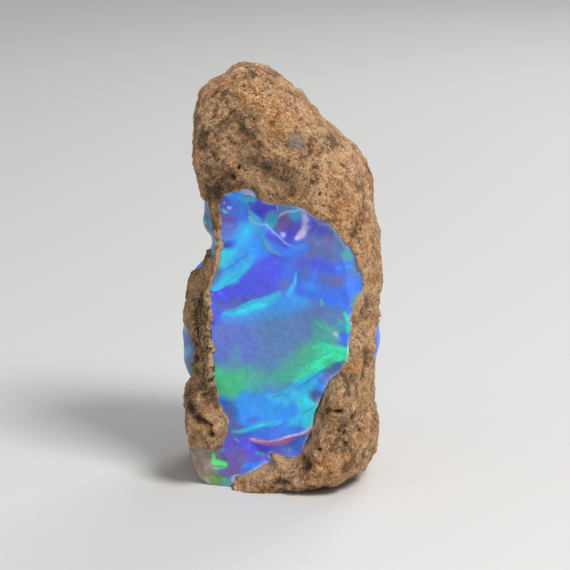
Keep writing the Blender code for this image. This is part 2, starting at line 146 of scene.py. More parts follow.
# Windows in the rind. Front and rear outlines are seen from the front as (x, z), the side ones from
# the side as (y, z).
FRONT_WINDOW = [
    (-5.95, 28.6), (-5.5, 28.5), (-5.1, 28.7), (-4.5, 28.75), (-4.3, 29.05), (-3.8, 29.15),
    (-3.35, 29.1), (-2.9, 28.85), (-2.65, 28.5), (-2.55, 28.15), (-2.1, 28.1), (-1.6, 27.95),
    (-0.9, 27.9), (-0.2, 27.75), (0.7, 27.7), (1.8, 27.5), (3.0, 26.7), (4.2, 26.1), (5.4, 24.9),
    (6.3, 23.7), (7.0, 22.0), (7.35, 20.5), (7.2, 19.4), (6.6, 18.4), (6.2, 17.4), (6.25, 16.0),
    (5.95, 14.6), (5.85, 13.5), (5.4, 12.2), (4.3, 11.2), (3.5, 10.0), (3.1, 8.6), (2.6, 6.9),
    (2.3, 5.4), (1.6, 3.9), (0.8, 3.2), (-0.2, 3.0), (-1.4, 3.15), (-1.1, 2.6), (-2.0, 2.1),
    (-3.0, 1.6), (-4.0, 1.2), (-4.7, 0.9), (-5.1, 0.2), (-5.4, -2.0), (-12.0, -2.0), (-12.0, 4.7),
    (-9.8, 4.5), (-9.2, 4.2), (-8.8, 3.9), (-8.3, 3.65), (-7.7, 3.5), (-7.1, 3.45), (-6.6, 3.55),
    (-6.2, 4.1), (-6.0, 5.0), (-5.9, 5.8), (-5.8, 6.5), (-6.1, 7.2), (-6.4, 7.9), (-6.6, 8.7),
    (-6.7, 9.4), (-6.95, 10.1), (-7.1, 11.0), (-7.1, 12.6), (-7.25, 14.4), (-7.2, 16.4),
    (-7.35, 18.0), (-7.3, 19.6), (-6.9, 20.9), (-6.4, 21.8), (-6.2, 23.2), (-6.3, 24.6),
    (-6.3, 25.6), (-6.35, 26.5), (-6.3, 27.25), (-6.05, 27.9),
]
REAR_WINDOW = [
    (-12.0, 9.0), (-12.0, 24.8), (-6.4, 26.4), (-2.4, 27.2), (0.8, 26.0), (3.0, 22.8), (6.0, 20.6),
    (7.2, 17.6), (6.4, 14.2), (4.4, 11.4), (1.0, 9.2), (-3.4, 8.4), (-6.6, 8.3), (-8.8, 9.0),
]
LEFT_WINDOW = [
    (-5.25, 24.4), (-5.45, 25.8), (-5.0, 27.0), (-2.6, 27.4), (4.0, 26.6), (10.0, 26.0),
    (10.0, 9.0), (5.0, 8.3), (1.0, 9.2), (-0.4, 10.8), (-0.2, 12.6), (1.8, 13.8), (4.4, 15.0),
    (5.6, 17.6), (4.6, 20.0), (2.0, 21.6), (-1.0, 22.0), (-3.4, 21.9), (-4.7, 22.8),
]
RIGHT_WINDOW = [
    (-4.5, 12.9), (-4.3, 14.3), (-2.4, 15.2), (1.0, 15.5), (4.0, 15.8), (5.6, 14.4), (5.0, 12.4),
    (2.2, 11.2), (-0.6, 11.2), (-3.6, 11.9),
]
REAR_FLOOR, LEFT_FLOOR, RIGHT_FLOOR = 4.2, -4.4, 3.8      # how deep a window reaches
FRONT_FLOOR = [(0.0, -1.9), (1.6, -2.3), (3.0, -3.3), (4.6, -3.9), (6.0, -2.6)]      # z, and y there
RAGGED = [(1.3, 0.17, 31), (0.5, 0.075, 32)]      # noises on a window's edge
REAR_RAGGED, SIDE_RAGGED = 3.0, 2.5               # how much more ragged the other windows are
TOE_RAGGED = 1.8                                  # how much more the front one is beside the toe
TOE_SIDE_Y, TOE_SIDE_Z = (-5.8, -4.6), (5.6, 4.6)           # between which that comes in

ROCK_COLUMNS, ROCK_ROWS, ROCK_BASE_ROWS = 344, 282, 14      # of the grid
FRONT_CROWDING = 0.36         # how much closer the columns stand in front than on average
BASE_SHARE = 0.115            # share of the way up at which the base's few rows end
NORMAL_STEP = 0.004           # how far off the points lie that give a normal, as a share or in radians
NOISE_LATTICE = 32            # random values along each side of a noise's lattice
OUTLINE_STEP = 0.4            # length of the straight runs that stand for a window's outline
DIP = 3.0                     # how far the rock lies under the opal inside a window
DIP_WIDTH = 0.32              # how far inside the edge it gets there
AXIS = (0.0, 0.6)             # x and y of the upright line that the surface dips towards
FACING = (0.5, 0.85)          # how squarely a face looks forward or back where it dips straight back
TOE_CORNER_X, TOE_CORNER_Z = (-5.6, -7.2), (5.5, 4.2)       # the corners that dip to the axis
REAR_CORNER_X = (-6.0, -8.5)
SHORTEST = 0.01               # the least length that a direction is divided by


def spline(points, at, closed=False):
    """Points of a Catmull-Rom curve through the given points, at shares of its chord length."""
    knots = np.asarray(points, float)
    if closed:
        knots = np.vstack([knots, knots[:1]])
    lengths = np.linalg.norm(np.diff(knots, axis=0), axis=1)
    where = np.concatenate([[0.0], np.cumsum(lengths)]) / lengths.sum()
    if closed:
        before, after = knots[-2], knots[1]
        gaps = np.concatenate([lengths[-1:], lengths, lengths[:1]])
    else:
        before, after = 2 * knots[0] - knots[1], 2 * knots[-1] - knots[-2]
        gaps = np.concatenate([lengths[:1], lengths, lengths[-1:]])
    wide = np.vstack([before, knots, after])
    slopes = (wide[2:] - wide[:-2]) / (gaps[1:] + gaps[:-1])[:, None]
    at = np.asarray(at, float)
    i = np.clip(np.searchsorted(where, at, side="right") - 1, 0, len(lengths) - 1)
    u = ((at - where[i]) / (where[i + 1] - where[i]))[..., None]
    start, end, scale = knots[i], knots[i + 1], lengths[i][..., None]
    return ((2 * u**3 - 3 * u**2 + 1) * start + (u**3 - 2 * u**2 + u) * scale * slopes[i]
            + (3 * u**2 - 2 * u**3) * end + (u**3 - u**2) * scale * slopes[i + 1])


def smooth_max(a, b, width):
    """The larger of two values, with the corner between them rounded over the given width."""
    blend = np.clip(0.5 + 0.5 * (a - b) / width, 0, 1)
    return b + (a - b) * blend + width * blend * (1 - blend)


def fade(value, start, end):
    """0 up to start and 1 past end, with an S-shaped rise between them; end may lie under start."""
    part = np.clip((value - start) / (end - start), 0, 1)
    return part * part * (3 - 2 * part)


def noise(points, wavelength, seed):
    """Smooth noise from -1 to 1: random values on a cubic lattice, blended with an S-shaped fade."""
    lattice = np.random.default_rng(seed).uniform(-1, 1, (NOISE_LATTICE,) * 3)
    cell = np.floor(points / wavelength).astype(int)
    part = points / wavelength - cell
    part = part**3 * (part * (part * 6 - 15) + 10)
    total = 0.0
    for corner in np.ndindex(2, 2, 2):
        weight = np.prod(np.where(corner, part, 1 - part), axis=-1)
        x, y, z = np.moveaxis((cell + corner) % NOISE_LATTICE, -1, 0)
        total = total + weight * lattice[x, y, z]
    return total


def layered(points, layers):
    """The sum of noises, each with its wavelength, height and seed."""
    return sum(height * noise(points, wavelength, seed) for wavelength, height, seed in layers)


def from_table(table, at):
    """A table of pairs read at the given places, straight between its rows."""
    return np.interp(at, *np.transpose(table))


def bell(points, centre, radius):
    """1 at the centre, falling off in a bell curve that has 1/e left at the radius."""
    return np.exp(-np.sum((points - centre) ** 2, axis=-1) / radius**2)


def scatter(points, size, seed):
    """Cellular noise: one point is drawn at random in each cube of the given size, and this gives the
    distance to the nearest, in the same units, with a number from 0 to 1 that belongs to it."""
    draws = np.random.default_rng(seed).random((NOISE_LATTICE,) * 3 + (4,))
    cell = np.floor(points / size).astype(int)
    part = points / size - cell
    nearest = np.full(points.shape[:-1], np.inf)
    kind = np.zeros(points.shape[:-1])
    for step in np.ndindex(3, 3, 3):
        offset = np.array(step) - 1
        x, y, z = np.moveaxis((cell + offset) % NOISE_LATTICE, -1, 0)
        draw = draws[x, y, z]
        away = np.linalg.norm(offset + draw[..., :3] - part, axis=-1)
        kind = np.where(away < nearest, draw[..., 3], kind)
        nearest = np.minimum(nearest, away)
    return nearest * size, kind


def beside(path, points):
    """Distance from each point to a path of straight runs, and the share of the path it lies beside."""
    path = np.asarray(path, float)
    lengths = np.linalg.norm(np.diff(path, axis=0), axis=1)
    passed = np.concatenate([[0.0], np.cumsum(lengths)])
    nearest = np.full(points.shape[:-1], np.inf)
    share = np.zeros(points.shape[:-1])
    for i, (start, end) in enumerate(zip(path[:-1], path[1:])):
        part = np.clip(((points - start) @ (end - start)) / lengths[i] ** 2, 0, 1)
        away = np.linalg.norm(points - start - part[..., None] * (end - start), axis=-1)
        share = np.where(away < nearest, (passed[i] + part * lengths[i]) / passed[-1], share)
        nearest = np.minimum(nearest, away)
    return nearest, share


def inside(outline, u, v):
    """How far inside a smooth closed outline each point is: the distance to it, negative outside."""
    count = round(np.linalg.norm(np.diff(outline, axis=0), axis=1).sum() / OUTLINE_STEP)
    points = spline(outline, np.arange(count) / count, closed=True)
    nearest = np.full(u.shape, np.inf)
    within = np.zeros(u.shape, bool)
    for (u0, v0), (u1, v1) in zip(points, np.roll(points, -1, axis=0)):
        du, dv = u1 - u0, v1 - v0
        part = np.clip(((u - u0) * du + (v - v0) * dv) / (du * du + dv * dv), 0, 1)
        nearest = np.minimum(nearest, (u - u0 - part * du) ** 2 + (v - v0 - part * dv) ** 2)
        within ^= ((v0 > v) != (v1 > v)) & ((u - u0) * dv < (v - v0) * du if dv > 0 else
                                            (u - u0) * dv > (v - v0) * du)
    return np.where(within, 1, -1) * np.sqrt(nearest)


def meridian(profile, side):
    """A profile as points in space, from the middle of the base to the top."""
    if side:
        middle = [(a, SIDE_DEPTH, z) for a, z in profile]
    else:
        middle = [(from_table(RIDGE, z), a, z) for a, z in profile]
    return [BASE_CENTRE, *middle, TOP]


def skin(around, up):
    """Points of the bare form: at each height, four quarters of a super-ellipse join the profiles."""
    right, left = (spline(meridian(p, True), up) for p in (RIGHT_PROFILE, LEFT_PROFILE))
    back, front = (spline(meridian(p, False), up) for p in (BACK_PROFILE, FRONT_PROFILE))
    centre = np.stack([(front[..., 0] + back[..., 0]) / 2, (left[..., 1] + right[..., 1]) / 2,
                       (left[..., 2] + right[..., 2] + front[..., 2] + back[..., 2]) / 4], axis=-1)
    across, along = np.cos(around), np.sin(around)
    power = np.where(along >= 0,
                     np.where(across >= 0, CORNER_POWERS["back_right"], CORNER_POWERS["back_left"]),
                     np.where(across >= 0, CORNER_POWERS["front_right"], CORNER_POWERS["front_left"]))
    reach = (np.abs(across) ** power + np.abs(along) ** power) ** (-1 / power)
    sideways = np.where(across[..., None] >= 0, right - centre, left - centre)
    lengthways = np.where(along[..., None] >= 0, back - centre, front - centre)
    reached = np.abs(across)[..., None] * sideways + np.abs(along)[..., None] * lengthways
    return centre + reach[..., None] * reached


def break_plane(face, x):
    """y of a broken face's plane at x."""
    return face["depth"] + face["slope"] * x


def bare_form(around, up):
    """The skin, flattened to the rock's front and back faces and to the slanting left wall."""
    x, y, z = np.moveaxis(skin(around, up), -1, 0)
    y = smooth_max(y, break_plane(FRONT_BREAK, x) - from_table(ROCK_STANDS, z), BREAK_ROUNDING)
    y = -smooth_max(-y, -break_plane(REAR_BREAK, x) - REAR_ROCK_STANDS, BREAK_ROUNDING)
    wall = from_table(LEFT_EDGE, z) - LEFT_WALL_SLANT * (y - LEFT_EDGE_DEPTH)
    x = smooth_max(x, wall, LEFT_WALL_ROUNDING)
    return np.stack([x, y, z], axis=-1)


def form_and_normals(around, up):
    """The bare form's points, and at each the direction straight out of it."""
    middle = np.clip(up, NORMAL_STEP, 1 - NORMAL_STEP)
    over = bare_form(around, middle + NORMAL_STEP) - bare_form(around, middle - NORMAL_STEP)
    along = bare_form(around + NORMAL_STEP, middle) - bare_form(around - NORMAL_STEP, middle)
    normals = np.cross(along, over)
    return bare_form(around, up), normals / np.linalg.norm(normals, axis=-1, keepdims=True)


def relief(points):
    """How far the rock stands out of its bare form: lumps, creases and two scales of unevenness."""
    height = layered(points, UNEVENNESS)
    for centre, radius, rise in LUMPS:
        height += rise * bell(points, centre, radius)
    for path, width, depth in CREASES:
        height -= depth * np.exp(-((beside(path, points)[0] / width) ** 2))
    return height


def bareness(points):
    """How far inside a window each point of the surface is, negative outside all four, and how far
    inside the front or rear window alone. Noise makes the windows' edges ragged."""
    x, y, z = np.moveaxis(points, -1, 0)
    rear = np.minimum(inside(REAR_WINDOW, x, z), y - REAR_FLOOR)
    front = np.minimum(inside(FRONT_WINDOW, x, z), from_table(FRONT_FLOOR, z) - y)
    left = np.minimum(inside(LEFT_WINDOW, y, z), LEFT_FLOOR - x)
    right = np.minimum(inside(RIGHT_WINDOW, y, z), x - RIGHT_FLOOR)
    ragged = layered(points, RAGGED)
    beside_toe = fade(z, *TOE_SIDE_Z) * fade(y, *TOE_SIDE_Y)
    faces = np.maximum(front + (1 + TOE_RAGGED * beside_toe) * ragged, rear + REAR_RAGGED * ragged)
    return np.maximum(faces, np.maximum(left, right) + SIDE_RAGGED * ragged), faces


def unit(vectors):
    """Vectors divided by their lengths."""
    return vectors / np.maximum(np.linalg.norm(vectors, axis=-1, keepdims=True), SHORTEST)


def sunk(points, normals, distance):
    """Points moved level into the stone by a distance at each: straight back from a broken face, and
    towards the stone's upright axis from its sides and corners, where moved surfaces could cross."""
    x, y, z = np.moveaxis(points, -1, 0)
    toe_corner = fade(x, *TOE_CORNER_X) * fade(z, *TOE_CORNER_Z)
    corner = np.where(y < 0, toe_corner, fade(x, *REAR_CORNER_X))
    facing = fade(np.abs(normals[..., 1]), *FACING) * (1 - corner)
    away = unit(points[..., :2] - AXIS) * (1 - facing[..., None])
    away[..., 1] += facing * np.sign(y)
    moved = points.copy()
    moved[..., :2] -= distance[..., None] * unit(away)
    return moved


def surface_grid(columns, base_rows, rows, base_share, top_share, crowding):
    """Angles round the stone and shares of the way up it, for a grid that is denser in front."""
    turn = np.linspace(0, 2 * math.pi, columns, endpoint=False)
    up = np.concatenate([np.linspace(0, base_share, base_rows, endpoint=False),
                         np.linspace(base_share, top_share, rows - base_rows)])
    return np.meshgrid(turn - crowding * np.cos(turn), up)


def on_mesh(values):
    """A grid of values in the order of a closed mesh's vertices: one for the whole bottom row, then
    the rows between from the bottom up, and one for the whole top row."""
    return np.concatenate([values[:1].mean(axis=1), values[1:-1].reshape(-1, *values.shape[2:]),
                           values[-1:].mean(axis=1)])


def closed_mesh(name, points):
    """An object from a grid of points, rows from the bottom up and columns round: quads between the
    rows, and a fan that closes each end on the middle of its end row."""
    rows, columns = points.shape[:2]
    vertices = on_mesh(points)
    ring = np.arange(columns)
    after = np.roll(ring, -1)
    first = 1 + np.arange(rows - 3)[:, None] * columns
    above = first + columns
    quads = np.stack([first + ring, first + after, above + after, above + ring], axis=-1)
    last = len(vertices) - 1
    top_row = last - columns
    fans = ([(0, 1 + b, 1 + a) for a, b in zip(ring, after)]
            + [(top_row + a, top_row + b, last) for a, b in zip(ring, after)])
    mesh = bpy.data.meshes.new(name)
    mesh.from_pydata(vertices * MM, [], quads.reshape(-1, 4).tolist() + fans)
    mesh.shade_smooth()
    return in_scene(name, mesh)


def store(piece, name, values):
    """Keeps a grid's number or colour for each vertex, for the material to read by name."""
    values = on_mesh(values)
    attributes = piece.data.attributes
    if values.ndim > 1:
        rgba = np.hstack([values, np.ones((len(values), 1))])
        attributes.new(name, "FLOAT_COLOR", "POINT").data.foreach_set("color", rgba.ravel())
    else:
        attributes.new(name, "FLOAT", "POINT").data.foreach_set("value", values)


# Weathering, finer than the lumps and creases.
TURN = np.array([             # turns a noise's lattice off the axes
    [0.36, 0.48, -0.8], [-0.8, 0.6, 0.0], [0.48, 0.64, 0.6],
])
FRAYING = [(0.9, 0.2, 56), (0.34, 0.09, 59)]      # noises that move pits and grooves about
GRAIN = [(1.6, 0.14, 41), (0.8, 0.11, 42), (0.48, 0.075, 43), (0.34, 0.05, 47)]
CLODS = {"wavelength": 1.1, "height": 0.21, "middle": 0.3, "seed": 48}
WRINKLES = {"wavelength": 1.15, "width": 0.1, "depth": 0.1, "shade": 0.55, "seed": 44}
WRINKLED = {"wavelength": 3.2, "range": (-0.35, 0.3), "seed": 45}     # the places that have them
PITS = [                      # spacing, share of the places that have one, radius, depth, seed
    (1.9, 0.22, 0.3, 0.3, 51), (0.95, 0.16, 0.19, 0.18, 52),
]
PIT_STRETCH = (1.0, 1.7, 0.8)
LEAST_PIT_SIZE, LEAST_PIT_DEPTH = 0.35, 0.4       # as shares of a full pit's
PIT_WALL = 0.6                                    # the wall's width as a share of the pit's radius
SOCKET_WALL = (-0.35, 0.7)                        # a single pit's wall, in radii inside its edge
SOCKETS = [                   # single pits: centre, radius, depth
    ((-5.87, -3.86, 37.53), 0.16, 0.3), ((-3.79, -3.39, 38.45), 0.2, 0.2),
    ((-2.4, -1.0, 39.6), 0.14, 0.2), ((-4.3, -6.4, 31.15), 0.22, 0.35), ((-4.9, -6.35, 30.35), 0.3, 0.2),
    ((-0.37, -7.73, 31.14), 0.14, 0.25), ((3.2, -7.63, 30.8), 0.14, 0.2),
    ((3.07, -8.16, 29.35), 0.24, 0.35), ((6.69, -6.75, 26.06), 0.22, 0.35),
    ((7.39, -6.36, 15.1), 0.18, 0.35), ((5.69, -9.0, 11.95), 0.2, 0.3), ((6.73, -8.28, 10.04), 0.17, 0.3),
    ((6.95, -6.91, 10.81), 0.15, 0.25), ((4.5, -9.5, 8.66), 0.17, 0.35), ((5.1, -9.45, 8.77), 0.2, 0.35),
    ((6.2, -8.4, 7.9), 0.42, 0.35), ((5.6, -8.81, 6.47), 0.32, 0.3), ((5.83, -8.8, 5.22), 0.25, 0.25),
    ((3.3, -9.32, 4.7), 0.22, 0.4), ((2.9, -9.2, 4.8), 0.15, 0.3), ((8.18, -5.08, 3.54), 0.2, 0.3),
    ((8.6, -1.5, 22.0), 0.3, 0.3), ((8.9, 3.0, 19.5), 0.25, 0.3), ((3.2, 9.6, 30.5), 0.35, 0.35),
    ((-3.5, 9.0, 34.0), 0.25, 0.3), ((6.8, 7.0, 8.0), 0.35, 0.35),
]
GROOVES = [                   # path, width, depth
    ([(-8.6, -6.9, 6.9), (-7.7, -7.3, 7.1), (-7.1, -7.5, 6.5), (-6.85, -7.5, 5.4)], 0.24, 0.6),
    ([(-9.4, -5.8, 9.0), (-9.1, -6.5, 8.1), (-8.6, -6.9, 7.4), (-7.8, -7.2, 7.2)], 0.34, 0.5),
    ([(3.6, -9.5, 8.5), (4.2, -9.6, 8.7), (4.9, -9.6, 8.7), (5.6, -9.3, 8.5)], 0.2, 0.5),
    ([(6.5, -8.3, 8.8), (6.7, -8.1, 7.9), (6.4, -8.4, 7.1)], 0.26, 0.35),
    ([(1.3, -8.9, 5.0), (2.2, -9.1, 4.6), (3.2, -9.3, 4.7)], 0.18, 0.3),
    ([(-7.1, -6.7, 9.6), (-6.95, -6.9, 9.0), (-6.8, -7.1, 8.3), (-6.7, -7.2, 7.8)], 0.24, 0.4),
    ([(0.6, -8.4, 3.95), (1.6, -8.9, 3.35), (2.5, -9.2, 2.95)], 0.42, 0.5),
    ([(7.84, -6.1, 14.2), (7.53, -6.6, 12.64), (7.09, -6.8, 11.0), (6.7, -7.8, 9.6)], 0.2, 0.22),
    ([(1.98, -5.6, 34.6), (2.55, -6.0, 33.9), (2.79, -6.5, 33.1), (2.2, -7.2, 32.5)], 0.1, 0.12),
]
GROOVE_ENDS = 0.14            # how soon a groove reaches its depth from each end
GROOVE_SHADE = {"most": 0.75, "wavelength": 0.8, "range": (-0.6, 0.2), "seed": 57}
FLAKY_FOOT, FLAKY_HEAD = (8.8, 9.8), (19.5, 17.5)      # z over which the wall's flakes come in
FLAKY_X, FLAKY_Y = (-6.0, -6.6), (1.5, -1.5)           # and x and y
FLAKES = {"depth": 0.2, "middle": 0.6, "fraying": 1.8, "size": (0.42, 0.42, 2.6), "seed": 45}
FLAKE_SEAM = (0.22, 0.05)     # the noise that is a flake's side and the dark seam between two
INCLUSION = {"centre": (1.1, -6.9, 33.8), "radius": 1.35, "rise": 0.06, "fraying": 3, "smoothness": 0.85}
INCLUSION_CORE = 0.6          # share of its radius inside which it is wholly smooth


def stirred(points, layers):
    """Points moved about by noises, three for each wavelength, reach and first seed."""
    turned = points @ TURN
    return points + sum(reach * np.stack([noise(turned, wavelength, seed + i) for i in range(3)], axis=-1)
                        for wavelength, reach, seed in layers)


def weathering(points):
    """The rock's fine relief, how strongly each point is painted in shade for lying in a pit, groove,
    wrinkle or seam between flakes, how flaky it is and how smooth: grains of four sizes, rounded clods
    with sharp seams, wrinkles where a noise crosses 0, round pits, grooves, and upright flakes on the
    left wall, all worn away on the inclusion."""
    turned = points @ TURN
    frayed = stirred(points, FRAYING)
    clods = np.abs(noise(frayed @ TURN, CLODS["wavelength"], CLODS["seed"])) - CLODS["middle"]
    height = layered(turned, GRAIN) + CLODS["height"] * clods

    line = np.abs(noise(turned, WRINKLES["wavelength"], WRINKLES["seed"]))
    patch = fade(noise(turned, WRINKLED["wavelength"], WRINKLED["seed"]), *WRINKLED["range"])
    crack = patch * np.exp(-((line / WRINKLES["width"]) ** 2))
    height -= WRINKLES["depth"] * crack
    # Painted shade: how dark each point is drawn for lying in a wrinkle, pit, groove or flake seam
    crevice_shade = WRINKLES["shade"] * crack

    for spacing, share, radius, depth, seed in PITS:
        away, kind = scatter(frayed @ TURN * PIT_STRETCH, spacing, seed)
        size = radius * (LEAST_PIT_SIZE + (1 - LEAST_PIT_SIZE) * kind / share)
        pit = fade(size - away, 0, PIT_WALL * size) * (kind < share)
        height -= depth * pit * (LEAST_PIT_DEPTH + (1 - LEAST_PIT_DEPTH) * kind / share)
        crevice_shade = np.maximum(crevice_shade, pit)
    for centre, radius, depth in SOCKETS:
        away = np.linalg.norm(frayed - centre, axis=-1)
        pit = fade(radius - away, SOCKET_WALL[0] * radius, SOCKET_WALL[1] * radius)
        height -= depth * pit
        crevice_shade = np.maximum(crevice_shade, pit)

    shade = fade(noise(turned, GROOVE_SHADE["wavelength"], GROOVE_SHADE["seed"]), *GROOVE_SHADE["range"])
    for path, width, depth in GROOVES:
        away, share = beside(path, frayed)
        groove = np.exp(-((away / width) ** 2)) * fade(share * (1 - share), 0, GROOVE_ENDS)
        height -= depth * groove
        crevice_shade = np.maximum(crevice_shade, GROOVE_SHADE["most"] * groove * shade)

    x, y, z = np.moveaxis(points, -1, 0)
    flaky = fade(z, *FLAKY_FOOT) * fade(z, *FLAKY_HEAD) * fade(x, *FLAKY_X) * fade(y, *FLAKY_Y)
    frayed_more = points + FLAKES["fraying"] * (frayed - points)
    leaf = np.abs(noise(frayed_more / FLAKES["size"], 1.0, FLAKES["seed"]))
    height += flaky * FLAKES["depth"] * (leaf * 2 - FLAKES["middle"])
    crevice_shade = np.maximum(crevice_shade, flaky * fade(leaf, *FLAKE_SEAM))

    frayed_most = points + INCLUSION["fraying"] * (frayed - points)
    away = np.linalg.norm(frayed_most - INCLUSION["centre"], axis=-1)
    smooth = fade(away, INCLUSION["radius"], INCLUSION_CORE * INCLUSION["radius"])
    height = height * (1 - INCLUSION["smoothness"] * smooth) + INCLUSION["rise"] * smooth
    return height, crevice_shade * (1 - smooth), flaky, smooth


# The lip: near a window the rock comes down to a little over the opal, over this width.
LIP = 0.16                    # its height over the opal at the window's edge
LIP_WIDTH = {"mean": 0.9, "spread": 0.45, "wavelength": 1.7, "seed": 33}
LIP_LUMP = 0.4                # the most of a lump's height that it comes down by as well
LIP_FACING = (0.55, 0.9)      # only on faces that look this squarely forward or back
EDGE_WEAR = 0.55              # how much of the fine relief is gone at a window's edge
EDGE_WEAR_BAND = (-0.12, 0.1)
BURIED_LIFT, BURIED_BAND = 0.4, (0.1, 0.5)        # keeps the rock inside a window off the ground

around, up = surface_grid(ROCK_COLUMNS, ROCK_BASE_ROWS, ROCK_ROWS, BASE_SHARE, 1.0, FRONT_CROWDING)
form, normals = form_and_normals(around, up)
coarse = relief(form)
bare, bare_face = bareness(form + coarse[..., None] * normals)
fine, crevice_shade, flaky, smooth = weathering(form + coarse[..., None] * normals)
stands = np.where(form[..., 1] < 0, from_table(ROCK_STANDS, form[..., 2]), REAR_ROCK_STANDS)
lip_noise = noise(form, LIP_WIDTH["wavelength"], LIP_WIDTH["seed"])
lip = (stands + np.minimum(coarse, LIP_LUMP) - LIP) * fade(np.abs(normals[..., 1]), *LIP_FACING)
lip *= fade(bare_face, -LIP_WIDTH["mean"] - LIP_WIDTH["spread"] * lip_noise, 0)
height = coarse + fine * (1 - EDGE_WEAR * fade(bare, *EDGE_WEAR_BAND)) - np.maximum(lip, 0)
dip = DIP * fade(bare, 0, DIP_WIDTH)
rock_points = sunk(form + height[..., None] * normals, normals, dip)
rock_points[..., 2] = np.maximum(rock_points[..., 2], BURIED_LIFT * fade(bare, *BURIED_BAND))
rock = closed_mesh("weathered_rock", rock_points)

# Where the rock's colour departs from its plain brown: centre, radius, strength. The dark stain
# spots are partly real stains and partly painted shade, the pale spots partly paler rock and partly
# painted light on lit lumps, and the spots for glints mark where painted glints gather.
TINTS = {
    "stain_and_shade": [
        ((-5.0, -4.6, 36.9), 1.3, 0.6), ((-4.1, -5.7, 35.4), 1.5, 0.9), ((-3.1, -6.5, 33.8), 1.3, 0.8),
        ((-2.2, -7.2, 32.4), 1.2, 0.9), ((-0.9, -7.6, 31.0), 1.5, 1.0), ((0.9, -7.8, 30.0), 1.3, 0.8),
        ((-7.7, -6.9, 7.2), 0.5, 0.6), ((-8.6, -5.6, 10.6), 1.2, 0.6), ((-6.9, -5.7, 32.6), 1.2, 0.8),
        ((-6.6, -5.9, 31.0), 1.3, 0.9), ((-7.0, -5.6, 29.2), 1.3, 0.9),
        ((-6.2, -6.3, 30.6), 1.1, 0.8), ((-6.9, -6.9, 9.0), 0.6, 1.0), ((-8.9, -6.4, 8.0), 0.7, 1.0),
        ((-9.3, -5.6, 8.2), 1.2, 1.0), ((-8.6, -6.6, 7.6), 0.8, 0.5), ((6.0, -8.5, 7.4), 1.0, 0.8),
        ((5.8, -8.8, 5.6), 0.9, 0.7), ((1.6, -8.8, 3.4), 0.9, 0.9), ((7.4, -6.6, 13.0), 0.9, 0.6),
        ((-7.0, -5.3, 27.0), 1.1, 0.8), ((-6.9, -5.3, 25.0), 1.0, 0.8), ((-6.8, -5.4, 23.0), 0.8, 0.8),
        ((-6.9, -6.2, 9.2), 0.7, 0.9), ((-8.2, 0.0, 22.5), 2.2, 0.6), ((8.0, 4.0, 29.0), 2.4, 0.6),
        ((2.0, 10.0, 31.0), 2.2, 0.7), ((6.0, 8.4, 10.0), 2.2, 0.6), ((-2.0, 11.0, 5.0), 2.6, 0.6),
    ],
    "rust": [
        ((-2.6, -4.2, 37.6), 1.3, 0.8), ((-1.0, -5.3, 36.4), 1.4, 0.9), ((0.2, -6.2, 35.2), 1.1, 0.6),
        ((2.6, -6.2, 33.4), 0.7, 0.8), ((4.6, -8.2, 27.6), 1.3, 0.8), ((5.9, -7.6, 25.2), 1.2, 0.8),
        ((7.0, -6.6, 28.0), 1.3, 0.5), ((3.2, -9.2, 3.4), 1.4, 0.7), ((5.2, -8.9, 2.8), 1.5, 0.7),
        ((6.4, -7.6, 12.4), 0.9, 0.6), ((-7.4, -7.5, 6.6), 0.8, 0.6), ((8.6, 1.0, 16.0), 2.4, 0.6),
        ((-5.0, 8.0, 31.0), 2.2, 0.6), ((4.0, 9.6, 26.0), 2.2, 0.5),
    ],
    "pale_and_lit": [
        ((4.9, -9.3, 10.2), 1.3, 0.9), ((3.9, -9.2, 11.2), 0.8, 0.5), ((-7.7, -5.6, 9.4), 0.8, 0.7),
        ((-3.4, -6.9, 29.9), 0.8, 0.7), ((5.0, -4.4, 32.4), 1.8, 0.6), ((7.4, -3.8, 28.8), 1.6, 0.6),
        ((7.0, -7.0, 19.0), 1.0, 0.5), ((6.9, -7.2, 14.0), 0.8, 0.6), ((6.6, -7.4, 3.2), 1.2, 0.6),
        ((-5.6, -5.2, 35.0), 1.2, 0.6), ((1.5, -8.9, 5.9), 0.5, 0.6), ((-8.8, -2.0, 12.0), 1.4, 0.4),
        ((8.0, 5.0, 22.0), 2.0, 0.5), ((-1.0, 8.0, 37.0), 2.0, 0.5),
    ],
    # Spots where painted glints gather
    "glint_spots": [
        ((-0.1, -7.2, 33.4), 0.6, 0.8), ((0.5, -7.5, 32.9), 0.5, 1.0), ((0.0, -7.0, 34.0), 0.4, 0.6),
        ((7.4, -6.9, 17.4), 0.7, 0.8), ((3.6, -7.2, 31.4), 0.6, 0.4), ((6.4, -7.6, 27.6), 1.0, 0.4),
        ((-6.8, -7.2, 5.6), 0.8, 0.5), ((5.6, -8.8, 10.0), 1.6, 0.4), ((-6.4, -6.4, 28.6), 0.8, 0.4),
    ],
    "grey": [
        ((-3.4, -1.0, 39.8), 0.8, 1.0), ((3.8, -3.6, 34.4), 1.8, 0.7), ((-8.3, -3.0, 34.0), 1.8, 0.8),
        ((-8.4, -2.5, 30.0), 1.6, 0.7), ((2.6, -7.6, 31.4), 1.0, 0.5), ((6.2, -8.2, 16.6), 0.9, 0.5),
        ((2.9, -8.9, 6.6), 0.8, 0.6), ((5.0, -9.0, 7.4), 0.8, 0.5), ((6.6, -7.9, 6.2), 0.9, 0.7),
        ((8.4, -3.0, 9.0), 1.8, 0.5), ((8.8, 4.0, 12.0), 2.4, 0.6), ((-4.0, 10.0, 30.0), 2.0, 0.5),
    ],
}
TINT_FRAYING = [(1.6, 0.55, 61)]
# The fine relief in this range is painted: darker as shade in its hollows, lighter as light on its highs
RELIEF_RANGE = (-0.2, 0.14)   # fine relief that counts as hollow, and as high
# The rock's pale band at a window's rim is a painted highlight
PALE_EDGE_BAND = (-0.18, 0.0)     # how far inside a window the rock's pale edge starts and is whole


